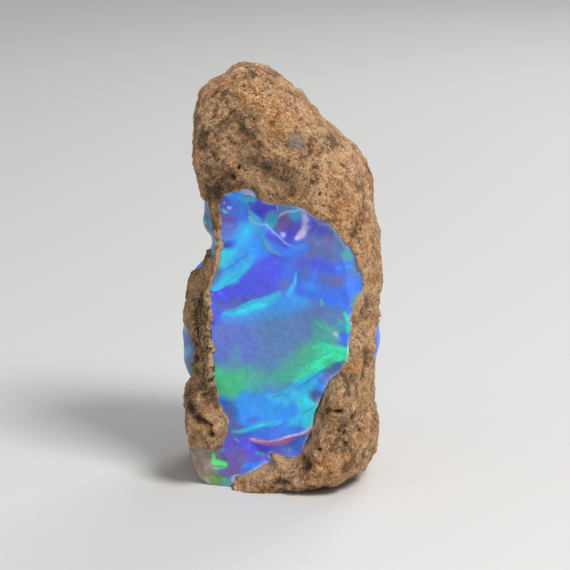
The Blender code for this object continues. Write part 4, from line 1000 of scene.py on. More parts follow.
# Flashes over them: a path from left to right as (x, z, half width), tint, strength, and how soft the
# flash is over and under its path, from 0, crisp, to 1. Most are play of colour; the thin pearl, ice
# and near-white lines along steps, ridges and the crescent's top, and the pearl spots at the top left
# corner, are painted highlights.
FRONT_FLASHES = [
    ([(-5.5, 28.6, 0.3), (-4.2, 28.6, 0.5)], (44, 156, 255), 0.8, 0.7, 1.0),
    ([(-4.1, 28.2, 0.2), (-3.3, 28.05, 0.3), (-2.9, 27.9, 0.15)], (48, 184, 214), 0.8, 0.6, 1.0),
    ([(-4.3, 28.9, 0.14), (-3.7, 28.95, 0.22), (-2.9, 28.7, 0.14)], (184, 182, 230), 0.85, 0.5, 0.9),
    # Painted highlight along the corner's top edge
    ([(-3.9, 28.7, 0.05), (-3.3, 28.75, 0.06), (-2.8, 28.5, 0.05)], PEARL, 0.7, 0.7, 0.7),
    ([(-3.4, 27.9, 0.15), (-2.3, 27.5, 0.7), (-1.1, 27.8, 0.35)], (70, 70, 214), 0.85, 0.3, 0.4),
    ([(-2.6, 27.2, 0.5), (-1.9, 26.6, 0.2)], (70, 70, 214), 0.85, 0.4, 0.4),
    ([(-3.3, 27.0, 0.15), (-2.8, 26.4, 0.28), (-2.2, 26.15, 0.2)], (52, 196, 220), 0.85, 0.7, 0.4),
    ([(-1.5, 26.6, 0.25), (-1.1, 26.2, 0.3)], (74, 150, 190), 0.7, 0.9, 0.9),
    ([(-1.4, 25.3, 0.12), (-0.8, 24.7, 0.32), (-0.1, 24.1, 0.28), (0.5, 23.8, 0.12)],
     INDIGO, 0.9, 0.4, 0.8),
    ([(-0.1, 23.3, 0.3), (1.0, 23.6, 0.6), (1.8, 23.9, 0.4)], (60, 130, 255), 0.75, 0.8, 1.0),
    ([(0.9, 23.8, 0.15), (1.5, 24.0, 0.25)], SKY, 0.6, 0.9, 0.9),
    ([(-5.5, 21.9, 0.3), (-5.0, 22.5, 0.6), (-4.6, 23.3, 0.6), (-4.1, 24.2, 0.5), (-3.5, 25.2, 0.65),
      (-2.9, 26.1, 0.4)], (62, 184, 252), 0.85, 0.9, 0.9),
    ([(-3.9, 24.9, 0.25), (-3.4, 25.4, 0.4), (-3.1, 26.0, 0.25)], (58, 210, 255), 0.8, 0.9, 0.9),
    ([(-5.6, 22.3, 0.2), (-5.3, 22.7, 0.45), (-4.8, 23.0, 0.3)], (52, 214, 244), 0.8, 0.9, 0.9),
    ([(-5.4, 23.7, 0.3), (-5.0, 23.9, 0.42)], (72, 84, 222), 0.75, 0.8, 0.8),
    ([(-5.9, 23.6, 0.2), (-5.55, 23.5, 0.18)], (104, 50, 128), 0.8, 0.7, 0.7),
    ([(-2.4, 25.3, 0.3), (-2.0, 24.4, 0.45), (-1.4, 23.6, 0.4), (-0.6, 22.9, 0.2)],
     (66, 168, 236), 0.6, 1.0, 1.0),
    # Painted highlights: pale lines along the crests of the top steps and of ridges
    ([(-3.3, 26.6, 0.08), (-2.9, 26.1, 0.11), (-2.37, 25.87, 0.11), (-1.7, 26.05, 0.1),
      (-1.5, 25.76, 0.09), (-1.13, 25.5, 0.09), (-0.72, 25.1, 0.09), (-0.2, 24.63, 0.09),
      (0.3, 24.25, 0.08), (0.75, 24.1, 0.06)],
     (166, 202, 240), 0.8, 0.7, 0.7),
    ([(-2.2, 24.9, 0.07), (-1.86, 24.3, 0.12), (-1.55, 23.8, 0.13), (-1.0, 23.2, 0.12),
      (-0.3, 22.9, 0.07)], ICE, 0.6, 0.9, 0.9),
    ([(-0.68, 27.95, 0.07), (-0.66, 27.2, 0.07)], ICE, 0.65, 0.8, 0.8),
    ([(-0.6, 26.65, 0.07), (-0.3, 26.95, 0.1), (0.3, 27.2, 0.1), (0.9, 27.3, 0.08), (1.35, 27.45, 0.09),
      (1.7, 27.3, 0.1)], (214, 206, 248), 0.75, 0.7, 0.9),
    ([(1.2, 24.9, 0.3), (1.5, 25.3, 0.42), (1.8, 25.9, 0.42), (1.85, 26.6, 0.36), (1.6, 27.3, 0.24)],
     (176, 156, 238), 0.85, 0.5, 0.6),
    ([(1.7, 25.7, 0.2), (2.2, 25.9, 0.22), (2.6, 26.1, 0.1)], (172, 158, 238), 0.8, 0.5, 0.6),
    ([(1.3, 25.1, 0.16), (1.6, 25.6, 0.2), (1.82, 26.2, 0.16), (1.84, 26.8, 0.14)],
     (216, 208, 250), 0.75, 0.8, 0.8),
    ([(1.15, 24.85, 0.2), (1.45, 25.3, 0.36), (1.7, 25.75, 0.25)], (230, 208, 252), 0.8, 0.5, 0.6),
    ([(1.75, 26.0, 0.25), (1.85, 26.6, 0.3), (1.75, 27.1, 0.2)], (206, 190, 248), 0.6, 0.8, 0.8),
    ([(2.4, 25.6, 0.25), (2.8, 26.3, 0.3)], (84, 78, 196), 0.7, 0.8, 0.8),
    ([(2.1, 26.3, 0.15), (2.5, 26.1, 0.25)], (92, 100, 214), 0.7, 0.8, 0.8),
    ([(2.2, 27.0, 0.12), (2.9, 26.5, 0.2), (3.4, 26.2, 0.1)], (110, 128, 206), 0.7, 0.6, 0.9),
    ([(3.1, 26.2, 0.08), (3.8, 26.15, 0.14), (4.6, 25.6, 0.14), (5.2, 25.0, 0.12), (5.9, 24.1, 0.1)],
     (150, 156, 206), 0.55, 0.7, 0.9),
    ([(3.3, 25.4, 0.3), (3.8, 25.8, 0.25)], (86, 86, 214), 0.7, 0.9, 0.9),
    ([(5.5, 23.6, 0.16), (5.95, 23.5, 0.22)], (64, 160, 140), 0.7, 0.8, 0.8),
    ([(2.7, 22.3, 0.35), (3.6, 22.1, 0.5), (4.6, 21.9, 0.35)], (70, 94, 240), 0.75, 0.9, 0.9),
    ([(4.7, 22.0, 0.15), (5.3, 22.15, 0.3), (6.0, 22.3, 0.18)], (74, 158, 250), 0.7, 0.8, 0.9),
    ([(1.9, 20.5, 0.2), (2.6, 20.2, 0.33)], (70, 156, 250), 0.65, 0.9, 0.9),
    ([(5.6, 20.6, 0.2), (6.3, 20.2, 0.4)], (72, 140, 250), 0.6, 0.9, 0.9),
    ([(0.3, 19.1, 0.2), (0.6, 19.8, 0.24), (0.85, 20.6, 0.14), (0.9, 21.4, 0.08)],
     (58, 204, 250), 0.75, 0.8, 0.8),
    ([(0.8, 19.3, 0.2), (1.25, 18.75, 0.4)], (60, 166, 250), 0.7, 0.9, 0.9),
    # Painted glints at the top left corner
    ([(-5.75, 27.75, 0.07), (-5.6, 27.7, 0.07)], PEARL, 0.8, 0.7, 0.7),
    ([(-5.35, 27.4, 0.08), (-5.2, 27.25, 0.1), (-5.05, 27.3, 0.07)], PEARL, 0.9, 0.7, 0.7),
    ([(-6.0, 27.1, 0.1), (-5.7, 26.9, 0.15), (-5.45, 26.8, 0.1)], (62, 226, 176), 0.85, 0.6, 0.7),
    ([(-5.9, 26.3, 0.3), (-5.2, 26.3, 0.4)], (120, 92, 168), 0.6, 0.9, 0.9),
    ([(-6.1, 25.9, 0.1), (-5.4, 25.6, 0.18), (-4.8, 25.75, 0.12)], (112, 142, 226), 0.6, 0.8, 0.9),
    ([(-6.9, 18.5, 0.4), (-5.5, 18.95, 0.55), (-3.8, 19.5, 0.7), (-2.2, 20.4, 1.0), (-1.2, 21.6, 1.1)],
     (84, 90, 234), 0.75, 0.8, 0.9),
    ([(-6.4, 17.8, 0.3), (-4.4, 18.3, 0.5), (-2.8, 18.9, 0.3)], (88, 94, 180), 0.7, 1.0, 0.6),
    ([(-6.8, 19.4, 0.25), (-5.8, 20.2, 0.55), (-4.85, 21.0, 0.7), (-3.9, 21.8, 0.7), (-3.1, 22.8, 0.5)],
     (62, 178, 252), 0.9, 1.0, 0.35),
    ([(-6.7, 19.2, 0.15), (-5.8, 19.95, 0.36), (-4.95, 20.6, 0.42), (-4.1, 21.2, 0.3),
      (-3.3, 21.9, 0.15)], (52, 214, 244), 0.85, 1.0, 0.35),
    ([(-6.2, 20.9, 0.08), (-5.2, 21.6, 0.13), (-4.2, 22.2, 0.12), (-3.3, 23.2, 0.08)],
     (56, 122, 224), 0.6, 0.7, 0.9),
    ([(-5.8, 16.7, 0.4), (-3.0, 17.3, 0.9), (0.0, 18.3, 1.2), (1.6, 18.6, 0.7)],
     (64, 162, 246), 0.75, 0.5, 1.0),
    ([(-6.0, 16.95, 0.12), (-5.0, 17.15, 0.32), (-3.8, 17.55, 0.56), (-2.6, 18.05, 0.66),
      (-1.5, 18.7, 0.55), (-0.6, 19.3, 0.3)], (54, 206, 250), 0.95, 0.25, 1.0),
    ([(-4.4, 17.35, 0.15), (-3.3, 17.65, 0.36), (-2.3, 18.05, 0.34), (-1.7, 18.3, 0.18)],
     (66, 236, 255), 0.85, 0.5, 1.0),
    ([(3.3, 19.0, 0.12), (3.45, 18.5, 0.16)], (98, 196, 172), 0.75, 0.7, 0.7),
    ([(4.6, 19.1, 0.5), (5.6, 19.4, 0.7)], (70, 120, 250), 0.75, 0.8, 0.9),
    ([(6.2, 18.7, 0.2), (6.8, 18.9, 0.25)], (90, 170, 170), 0.7, 0.8, 0.8),
    ([(5.5, 17.8, 0.15), (5.9, 17.3, 0.25)], (54, 220, 186), 0.85, 0.6, 0.7),
    ([(5.0, 17.2, 0.12), (5.4, 16.9, 0.16)], (70, 190, 170), 0.6, 0.8, 0.8),
    ([(5.85, 16.7, 0.15), (5.95, 16.3, 0.17)], (68, 216, 140), 0.85, 0.6, 0.6),
    ([(5.25, 16.2, 0.15), (5.7, 16.0, 0.22)], (56, 204, 220), 0.8, 0.6, 0.7),
    ([(5.95, 15.3, 0.16), (6.05, 14.9, 0.18)], (70, 190, 200), 0.75, 0.6, 0.6),
    ([(3.6, 15.1, 0.3), (4.4, 15.7, 0.4)], (70, 186, 186), 0.55, 1.0, 1.0),
    ([(4.6, 15.7, 0.16), (4.75, 15.6, 0.18)], AMBER, 0.9, 0.6, 0.7),
    ([(4.0, 16.25, 0.1), (4.25, 16.1, 0.12)], (120, 200, 160), 0.6, 0.8, 0.8),
    ([(2.9, 16.6, 0.2), (3.6, 16.5, 0.28)], (76, 196, 170), 0.65, 0.9, 0.9),
    ([(5.4, 15.9, 0.2), (5.55, 15.1, 0.34), (5.6, 14.7, 0.2)], (62, 110, 226), 0.75, 0.7, 0.7),
    ([(0.3, 11.4, 0.7), (1.6, 12.9, 1.1), (2.8, 14.1, 1.0)], (76, 190, 150), 0.5, 1.0, 0.9),
    ([(1.2, 10.9, 0.3), (2.2, 11.9, 0.55), (3.2, 12.9, 0.75), (4.2, 13.5, 0.8), (5.2, 13.8, 0.5),
      (6.0, 14.2, 0.25)], (62, 226, 170), 0.9, 1.0, 0.3),
    ([(2.7, 14.35, 0.2), (3.1, 14.5, 0.24), (3.7, 14.8, 0.16)], (66, 226, 176), 0.7, 0.8, 0.9),
    ([(2.8, 12.6, 0.25), (3.9, 13.35, 0.45), (4.9, 13.6, 0.35)], (58, 246, 178), 0.8, 0.9, 0.5),
    ([(2.3, 12.9, 0.07), (3.2, 13.4, 0.12), (4.1, 13.9, 0.07)], (72, 176, 172), 0.55, 0.8, 0.8),
    ([(3.3, 12.7, 0.06), (4.2, 13.2, 0.1), (5.0, 13.5, 0.06)], (66, 196, 210), 0.5, 0.8, 0.8),
    ([(1.5, 12.4, 0.1), (2.2, 13.1, 0.15), (2.9, 13.9, 0.1)], (88, 160, 172), 0.5, 0.9, 0.9),
    ([(0.2, 9.8, 0.25), (1.4, 10.5, 0.45), (2.6, 11.4, 0.4), (3.6, 12.25, 0.18)],
     (50, 190, 246), 0.85, 0.3, 1.0),
    ([(3.4, 11.2, 0.3), (4.4, 12.0, 0.5), (5.6, 12.9, 0.34)], (82, 114, 186), 0.8, 0.6, 0.8),
    ([(4.2, 11.4, 0.2), (4.7, 11.8, 0.28)], (134, 100, 150), 0.65, 0.8, 0.8),
    ([(2.2, 9.7, 0.2), (2.8, 9.4, 0.36), (3.2, 9.9, 0.2)], (84, 106, 170), 0.6, 0.8, 0.8),
    ([(-6.9, 10.1, 0.5), (-5.4, 10.3, 1.1), (-4.0, 10.5, 0.9)], (74, 192, 134), 0.75, 1.0, 0.8),
    ([(-4.9, 11.6, 0.6), (-4.6, 12.8, 0.5), (-4.4, 13.8, 0.25)], (92, 162, 172), 0.6, 0.9, 0.9),
    ([(-1.9, 9.2, 0.15), (-0.9, 9.0, 0.4), (0.2, 9.2, 0.65), (1.2, 9.5, 0.5)],
     (58, 204, 248), 0.75, 0.35, 1.0),
    ([(-4.3, 8.4, 0.5), (-2.8, 8.2, 0.9), (-1.0, 7.9, 0.9)], (48, 162, 250), 0.8, 0.9, 0.9),
    ([(2.1, 6.8, 0.35), (2.6, 7.4, 0.45), (2.3, 8.2, 0.5), (2.0, 9.2, 0.35)],
     (50, 214, 234), 0.9, 0.8, 0.8),
    ([(0.5, 6.9, 0.35), (1.7, 7.2, 0.42)], (56, 206, 240), 0.65, 0.9, 0.9),
    ([(1.2, 7.4, 0.3), (1.6, 8.4, 0.45), (1.9, 9.6, 0.45), (2.7, 10.9, 0.35)],
     (54, 206, 242), 0.7, 0.8, 0.8),
    ([(1.7, 7.8, 0.06), (2.2, 8.1, 0.09), (2.7, 8.5, 0.06)], (38, 136, 208), 0.6, 0.8, 0.8),
    ([(-6.1, 8.2, 0.2), (-5.7, 7.8, 0.3)], (72, 122, 240), 0.75, 0.8, 0.8),
    ([(-5.4, 5.6, 0.25), (-5.2, 7.0, 0.3), (-5.3, 8.0, 0.2)], (108, 112, 208), 0.5, 0.9, 0.9),
    ([(-3.2, 6.95, 0.25), (-2.9, 6.7, 0.3)], (88, 112, 206), 0.55, 0.9, 0.9),
    ([(-4.9, 5.55, 0.15), (-4.2, 5.5, 0.28), (-3.4, 5.8, 0.36), (-2.6, 6.15, 0.36), (-1.6, 6.6, 0.38),
      (-0.6, 6.9, 0.25)], (60, 196, 250), 0.8, 1.0, 0.6),
    ([(-4.4, 5.5, 0.12), (-3.6, 5.75, 0.2), (-2.6, 6.15, 0.18), (-1.6, 6.55, 0.16)],
     (58, 220, 252), 0.7, 0.9, 0.7),
    ([(-4.3, 4.6, 0.3), (-3.2, 4.1, 0.5), (-2.2, 3.85, 0.55), (-1.7, 3.6, 0.3)],
     (94, 84, 246), 0.8, 0.8, 0.9),
    ([(0.4, 4.2, 0.4), (1.2, 4.5, 0.5), (1.9, 5.2, 0.35)], (76, 136, 246), 0.7, 0.8, 0.9),
    ([(-3.3, 4.94, 0.1), (-2.5, 4.76, 0.27), (-1.5, 4.72, 0.34), (-0.5, 4.9, 0.32), (0.5, 5.2, 0.26),
      (1.5, 5.64, 0.2), (2.5, 6.38, 0.13)], (214, 116, 182), 0.95, 0.2, 0.4),
    # Painted highlights: a white-pink streak on the crescent and a pale line along its top edge
    ([(-3.1, 4.92, 0.08), (-2.4, 4.82, 0.13), (-1.7, 4.8, 0.15), (-1.2, 4.9, 0.1)],
     (244, 186, 224), 0.85, 0.4, 0.6),
    ([(-1.5, 4.94, 0.1), (0.0, 5.27, 0.13), (1.0, 5.57, 0.13), (1.84, 6.02, 0.13), (2.7, 6.7, 0.12)],
     (240, 216, 250), 0.95, 0.8, 0.8),
    ([(-2.7, 3.65, 0.15), (-2.2, 3.6, 0.22)], (88, 184, 190), 0.75, 0.7, 0.7),
    ([(-1.95, 3.35, 0.07), (-1.3, 3.0, 0.1), (-0.8, 2.9, 0.08)], (90, 164, 176), 0.65, 0.7, 0.7),
    ([(-4.85, 4.75, 0.07), (-4.5, 4.5, 0.09)], (130, 186, 214), 0.7, 0.7, 0.7),
    ([(-6.25, 3.5, 0.08), (-5.8, 3.75, 0.1)], (80, 170, 176), 0.7, 0.7, 0.7),
    ([(-6.95, 3.05, 0.15), (-6.75, 2.65, 0.26)], LEAF, 0.95, 0.3, 0.3),
    ([(-6.9, 2.45, 0.26), (-6.3, 2.4, 0.34), (-5.75, 2.3, 0.3)], LEAF, 0.95, 0.3, 0.3),
    ([(-7.0, 1.85, 0.08), (-6.4, 1.8, 0.12), (-5.8, 1.85, 0.1)], (86, 220, 110), 0.8, 0.5, 0.5),
    ([(-6.9, 2.12, 0.05), (-6.4, 2.2, 0.06), (-5.8, 2.08, 0.06)], (60, 160, 96), 0.6, 0.7, 0.7),
    ([(-7.3, 1.0, 0.2), (-6.5, 0.7, 0.3), (-5.9, 0.5, 0.2)], (118, 172, 78), 0.75, 0.8, 0.8),
    ([(-5.6, 0.5, 0.15), (-5.0, 0.6, 0.17)], (116, 172, 140), 0.6, 0.8, 0.8),
    ([(-4.0, 1.9, 0.13), (-3.1, 2.3, 0.3), (-2.4, 2.6, 0.22)], (62, 140, 250), 0.95, 0.4, 0.5),
]
# The back face, in the same way, seen through the stone from the front.
REAR_PATCHES = [
    (-8.6, 11.0, 1.6, PERIWINKLE), (-6.0, 9.6, 1.2, TEAL), (-3.0, 10.0, 1.4, SLATE),
    (0.4, 11.0, 1.4, BLUE), (3.0, 12.4, 1.3, VIOLET), (-7.6, 14.0, 1.4, BLUE), (-4.6, 13.2, 1.5, GREEN),
    (-1.4, 13.6, 1.4, TEAL), (1.6, 15.0, 1.3, AZURE), (4.6, 14.6, 1.2, SLATE), (6.4, 16.6, 1.1, DEEP),
    (-8.6, 17.6, 1.5, VIOLET), (-5.4, 17.0, 1.5, SLATE), (-2.2, 17.2, 1.5, PERIWINKLE),
    (1.0, 18.4, 1.3, DEEP), (4.0, 18.4, 1.2, BLUE), (-8.4, 21.4, 1.5, AZURE), (-5.2, 20.6, 1.4, CYAN),
    (-2.0, 21.0, 1.4, BLUE), (1.2, 21.6, 1.2, INDIGO), (-7.6, 24.2, 1.2, MAUVE), (-4.6, 24.4, 1.3, AZURE),
    (-1.4, 25.0, 1.2, VIOLET),
]
REAR_FLASHES = [
    ([(-9.4, 20.2, 0.5), (-7.0, 20.9, 0.9), (-4.6, 21.4, 0.8), (-2.4, 22.4, 0.5)],
     (58, 196, 250), 0.85, 0.6, 1.0),
    ([(-6.6, 20.8, 0.2), (-5.2, 21.3, 0.4), (-3.9, 21.6, 0.25)], (66, 232, 252), 0.8, 0.7, 1.0),
    ([(-6.4, 11.6, 0.6), (-4.2, 12.8, 1.2), (-2.0, 13.4, 1.1), (-0.4, 14.6, 0.5)],
     (66, 206, 150), 0.85, 1.0, 0.5),
    ([(-5.0, 12.6, 0.3), (-3.4, 13.2, 0.6), (-2.0, 13.6, 0.4)], MINT, 0.8, 0.9, 0.6),
    ([(-0.6, 12.9, 0.4), (1.2, 14.4, 0.8), (2.8, 15.4, 0.8), (4.4, 17.0, 0.4)],
     (60, 180, 246), 0.8, 1.0, 0.5),
    ([(-8.8, 14.6, 0.5), (-7.0, 15.4, 0.8), (-5.6, 16.4, 0.5)], (72, 118, 240), 0.75, 0.9, 0.9),
    ([(-4.2, 17.6, 0.2), (-2.2, 18.6, 0.3), (-0.4, 18.9, 0.2)], (150, 146, 236), 0.6, 0.5, 1.0),
    ([(-3.8, 24.6, 0.4), (-2.0, 25.2, 0.7), (-0.4, 24.8, 0.5)], (60, 166, 240), 0.75, 0.8, 1.0),
    ([(4.8, 16.2, 0.25), (5.6, 16.7, 0.5), (6.4, 17.6, 0.3)], (70, 200, 160), 0.8, 0.8, 0.8),
    ([(-7.8, 9.4, 0.3), (-6.6, 9.9, 0.6), (-5.2, 9.6, 0.3)], (70, 190, 150), 0.8, 0.8, 0.9),
    ([(-8.9, 24.0, 0.3), (-8.0, 23.8, 0.5), (-7.2, 24.4, 0.3)], (150, 104, 170), 0.6, 0.9, 0.9),
    ([(1.4, 17.2, 0.12), (1.75, 17.4, 0.16)], AMBER, 0.8, 0.7, 0.7),
    ([(2.0, 17.0, 0.14), (2.5, 16.8, 0.2)], (90, 206, 180), 0.7, 0.7, 0.7),
    ([(-5.7, 22.95, 0.12), (-5.3, 23.1, 0.17)], LEAF, 0.75, 0.7, 0.7),
    ([(-1.8, 10.4, 0.4), (0.2, 11.2, 0.7), (2.0, 12.2, 0.5)], (84, 94, 236), 0.75, 0.9, 0.9),
    ([(2.6, 19.6, 0.3), (3.9, 19.4, 0.5), (5.2, 18.8, 0.3)], (74, 150, 246), 0.7, 0.9, 0.9),
]
# The bared left side, seen from the left as (-y, z), and the small window at the right, as (y, z).
LEFT_PATCHES = [
    (5.4, 25.0, 1.0, SHADED), (3.0, 24.6, 1.4, SHADED), (0.6, 25.4, 1.4, SLATE), (-2.4, 25.0, 1.5, SEA),
    (-5.4, 24.6, 1.6, TEAL), (-8.4, 24.0, 1.6, BLUE), (1.4, 23.4, 1.1, SHADED), (-1.6, 22.8, 1.2, BLUE),
    (-6.6, 21.0, 1.6, AZURE), (-8.8, 18.0, 1.8, PERIWINKLE), (-6.8, 15.0, 1.6, SLATE),
    (-8.4, 12.4, 1.6, BLUE), (-4.0, 12.0, 1.4, DUSK), (-1.6, 11.2, 1.2, SHADED), (-5.0, 9.6, 1.3, TEAL),
    (0.3, 11.8, 0.8, DUSK), (-2.6, 14.0, 1.2, DUSK),
]
LEFT_FLASHES = [
    ([(-7.4, 21.6, 0.3), (-5.0, 22.4, 0.5), (-2.6, 22.9, 0.45), (0.4, 22.6, 0.3), (3.0, 22.4, 0.2)],
     (34, 156, 156), 0.85, 0.8, 0.9),
    ([(0.8, 25.3, 0.2), (1.8, 25.1, 0.35), (2.8, 25.3, 0.2)], (46, 190, 120), 0.85, 0.7, 0.7),
    ([(3.4, 25.4, 0.25), (4.4, 25.2, 0.35)], (40, 150, 160), 0.7, 0.8, 0.8),
    ([(-3.2, 26.0, 0.2), (-2.4, 25.7, 0.4), (-1.6, 25.9, 0.2)], (60, 206, 140), 0.8, 0.8, 0.8),
    ([(-7.6, 24.6, 0.4), (-6.0, 25.2, 0.7), (-4.2, 25.4, 0.4)], (74, 124, 240), 0.75, 0.9, 0.9),
    ([(-3.8, 10.6, 0.3), (-2.6, 11.2, 0.6), (-1.2, 11.6, 0.4)], (40, 150, 196), 0.8, 0.8, 0.8),
    ([(-6.4, 13.0, 0.3), (-4.8, 13.3, 0.6), (-3.0, 13.4, 0.3)], (60, 200, 170), 0.7, 0.8, 0.9),
    ([(-9.0, 15.4, 0.5), (-7.8, 16.6, 0.8), (-6.6, 18.4, 0.5)], (66, 184, 246), 0.7, 0.9, 0.9),
    ([(-7.0, 10.0, 0.3), (-5.6, 10.4, 0.4), (-4.4, 10.0, 0.3)], (128, 130, 220), 0.6, 0.8, 0.9),
]
RIGHT_PATCHES = [
    (-3.8, 13.4, 0.9, (48, 92, 190)), (-1.6, 13.0, 1.0, BLUE), (0.6, 14.2, 0.9, DUSK),
    (1.2, 12.6, 1.0, SLATE), (3.4, 13.6, 1.0, AZURE), (4.8, 14.4, 0.9, VIOLET),
]
RIGHT_FLASHES = [
    ([(-0.6, 13.6, 0.2), (1.0, 14.2, 0.3), (2.8, 14.6, 0.2)], (60, 170, 250), 0.85, 0.5, 0.8),
    ([(2.2, 12.4, 0.15), (3.4, 12.8, 0.3), (4.4, 13.2, 0.2)], (54, 214, 190), 0.8, 0.4, 0.7),
]
FLASH_REACH = 1.9             # in widths, how far from its path a flash is worked out
SOFT_OUTSIDE = 0.8            # how far past its width a wholly soft flash still shows
LEAST_WEIGHT = 1e-9           # a patch's weight far from it


def painted(u, v, patches, flashes):
    """The play of colour at points of a face: patches weighted by a bell curve of their distance, and
    flashes laid over them, each as wide as its path says and fading past that over and under it."""
    total, weights = np.zeros(u.shape + (3,)), np.zeros(u.shape)
    for cu, cv, radius, tint in patches:
        weight = np.exp(-((u - cu) ** 2 + (v - cv) ** 2) / radius**2) + LEAST_WEIGHT
        total += weight[..., None] * colour(*tint)
        weights += weight
    shown = total / weights[..., None]
    for path, tint, strength, over, below in flashes:
        widths = [width for _, _, width in path]
        near, distance, share = under([point[:2] for point in path], u, v, FLASH_REACH * max(widths))
        width = np.interp(share, np.linspace(0, 1, len(path)), widths)
        softness = np.where(distance < 0, over, below)
        weight = strength * fade(np.abs(distance) / width, 1 + SOFT_OUTSIDE * softness, 1 - softness)
        shown[near] += weight[:, None] * (colour(*tint) - shown[near])
    return shown


COLOUR_FRAYING = [(1.3, 0.16, 81), (0.5, 0.055, 84)]
FALL = math.tan(VIEW_ELEVATION)       # the front flashes lie in sheets that fall towards the front
FRONT_Y, REAR_Y = (-3.6, -4.6), (6.2, 7.8)        # y over which each broken face's colours come in
TOE_HEIGHT, TOE_FRONT_Y = 5.0, (-1.0, -2.4)       # the front one's come in sooner on the toe
# The pale band at a window's edge on the opal is a painted highlight
PALE_EDGE_HIGHLIGHT = (196, 206, 226)           # the fringe at a window's edge
EDGE_HIGHLIGHT = {"band": (0.28, 0.08), "strength": 0.6, "wavelength": 0.9, "range": (-0.8, 0.3), "seed": 87}
ASHEN_X, ASHEN_Z = (-6.4, -8.0), (5.0, 3.0)       # where the toe turns milky

x, y, z = np.moveaxis(stirred(colour_points, COLOUR_FRAYING), -1, 0)
fallen = z + FALL * (y - break_plane(FRONT_BREAK, x))
low = z < TOE_HEIGHT
starts, ends = (np.where(low, toe, face) for toe, face in zip(TOE_FRONT_Y, FRONT_Y))
play = np.where((x < 0)[..., None], painted(-y, z, LEFT_PATCHES, LEFT_FLASHES),
                painted(y, z, RIGHT_PATCHES, RIGHT_FLASHES))
play += fade(y, *REAR_Y)[..., None] * (painted(x, z, REAR_PATCHES, REAR_FLASHES) - play)
play += fade(y, starts, ends)[..., None] * (painted(x, fallen, FRONT_PATCHES, FRONT_FLASHES) - play)
# Painted highlight: a pale band along each window's edge
edge_highlight = fade(noise(colour_points @ TURN, EDGE_HIGHLIGHT["wavelength"], EDGE_HIGHLIGHT["seed"]), *EDGE_HIGHLIGHT["range"])
edge_highlight *= EDGE_HIGHLIGHT["strength"] * fade(bare, *EDGE_HIGHLIGHT["band"])
play += edge_highlight[..., None] * (colour(*PALE_EDGE_HIGHLIGHT) - play)
ash = fade(x, *ASHEN_X) * fade(z, *ASHEN_Z)
for name, values in (("play", play), ("ash", ash)):
    store(opal, name, np.concatenate([values, np.repeat(values[-1:], CAP_ROWS, axis=0)]))

OPAL_NOISES = {               # size in millimetres, detail, roughness, distortion
    "silk": (0.5, 4, 0.6, 0.6), "fine": (0.14, 3, 0.6), "haze": (1.5, 5, 0.65, 0.8),
    "ripples": (0.7, 3, 0.5),
}
SPANGLE_SIZE, FLECK_SIZE = 0.42, 0.9
HAZE, FLECK = colour(128, 134, 178), colour(40, 52, 90)
CLOUD, MILK = colour(158, 139, 120), colour(194, 181, 168)
OPAL_IOR = 1.45
# Its emission makes the play of colour glow faintly: painted light
OPAL_GLOSS_AND_GLOW = {"IOR": OPAL_IOR, "Coat Weight": 0.25, "Coat Roughness": 0.15, "Emission Strength": 0.22}
MILKY_LOOKS = {
    "IOR": OPAL_IOR, "Roughness": 0.38, "Subsurface Weight": 1.0, "Subsurface Scale": 1.2 * MM,
    "Subsurface Radius": (1.0, 0.85, 0.75),
}
MILKINESS = 0.85              # share of the toe's light that goes through its milky inside
OPAL_ROUGHNESS = 0.34
OPAL_BUMP = {"strength": 0.5, "depth": 0.1}


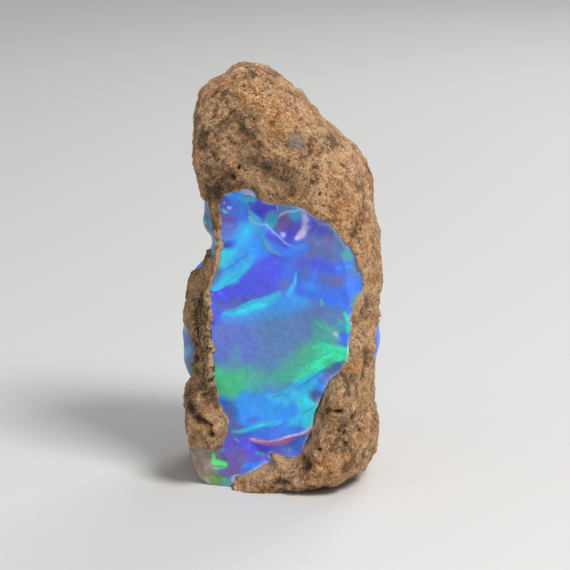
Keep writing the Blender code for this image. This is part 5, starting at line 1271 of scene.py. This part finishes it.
def opal_material():
    """Precious opal: the mesh's play of colour, broken into fine spangles and silky streaks, under a
    clear glossy surface with faint ripples, and glowing faintly by emission as painted light. The toe,
    which has no play, is milky and scatters light."""
    made, tree, shader = new_material("precious_opal")
    place = millimetres(tree)
    silk, fine, haze, ripples = (noise_node(tree, place, *n) for n in OPAL_NOISES.values())
    spangle = channel(tree, cells(tree, place, SPANGLE_SIZE, "Color"), 0)
    fleck = cells(tree, place, FLECK_SIZE, "Distance").ramp(0.08, 0.03)
    level = 0.34 + silk * 0.45 + fine * 0.3 + spangle * 0.08 + haze * 0.2
    cool = from_channels(tree, level * 0.84, level * 0.97, level)
    play = mix(tree, 1.0, read(tree, "play", "Color"), cool, "MULTIPLY")
    play = coated(tree, play, [(haze.ramp(0.52, 0.72) * 0.2, HAZE), (fleck * 0.5, FLECK)])
    rough = OPAL_ROUGHNESS + silk * 0.12
    normal = bump(tree, ripples * 0.6 + fine * 0.12, **OPAL_BUMP)
    # The play of colour also feeds the emission, a faint painted glow
    looks = {"Base Color": play, "Emission Color": play, "Roughness": rough, "Normal": normal}
    feed(tree, shader, {**OPAL_GLOSS_AND_GLOW, **looks})
    cloudy = mix(tree, haze.ramp(0.38, 0.62), CLOUD, MILK)
    looks = {**MILKY_LOOKS, "Base Color": cloudy, "Normal": normal}
    milky = node(tree, "BsdfPrincipled", sockets=looks)
    clear = Value(shader.outputs[0])
    lit = node(tree, "MixShader", sockets={0: read(tree, "ash") * MILKINESS, 1: clear, 2: milky})
    feed(tree, tree.nodes["Material Output"], {"Surface": lit})
    return made


opal.data.materials.append(opal_material())
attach(opal, "root")
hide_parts("precious_opal")


# ------------------------------------------------------------------------------------------------
# Floor and studio light. A plain pale floor, a soft main light above, in front and at the right, a
# weak one at the left, one behind for the edges, and an even pale light from all round.
# ------------------------------------------------------------------------------------------------

FLOOR_HALF_SIZE = 2000.0      # half its width
FLOOR_LOOKS = {"Base Color": (0.72, 0.71, 0.69, 1), "Roughness": 0.8}
FLOOR_CORNERS = np.array([(-1, -1, 0), (1, -1, 0), (1, 1, 0), (-1, 1, 0)])

floor_mesh = bpy.data.meshes.new("floor")
floor_mesh.from_pydata(FLOOR_CORNERS * FLOOR_HALF_SIZE * MM, [], [(0, 1, 2, 3)])
floor = in_scene("floor", floor_mesh)
floor_material, floor_tree, floor_shader = new_material("floor")
feed(floor_tree, floor_shader, FLOOR_LOOKS)
floor.data.materials.append(floor_material)

LIGHTS = [                    # name, place, width, power in watts
    ("key", (150.0, -170.0, 300.0), 120.0, 1.1),
    ("left_fill", (-260.0, -140.0, 120.0), 180.0, 0.08),
    ("back_rim", (120.0, 240.0, 200.0), 160.0, 0.3),
]
LIGHT_TARGET = np.array([0.0, 0.0, 18.0])
ALL_ROUND = {"Color": (0.95, 0.97, 1.0, 1), "Strength": 0.3}      # the even light

for name, place, width, power in LIGHTS:
    lamp = bpy.data.lights.new(name, "AREA")
    lamp.size = width * MM
    lamp.energy = power
    light = in_scene(name, lamp)
    light.location = np.array(place) * MM
    east, north, rise = LIGHT_TARGET - place
    light.rotation_euler = (math.atan2(math.hypot(east, north), -rise), 0,
                            math.atan2(north, east) - math.pi / 2)

world = bpy.data.worlds.new("studio")
world.use_nodes = True
feed(world.node_tree, world.node_tree.nodes["Background"], ALL_ROUND)
bpy.context.scene.world = world
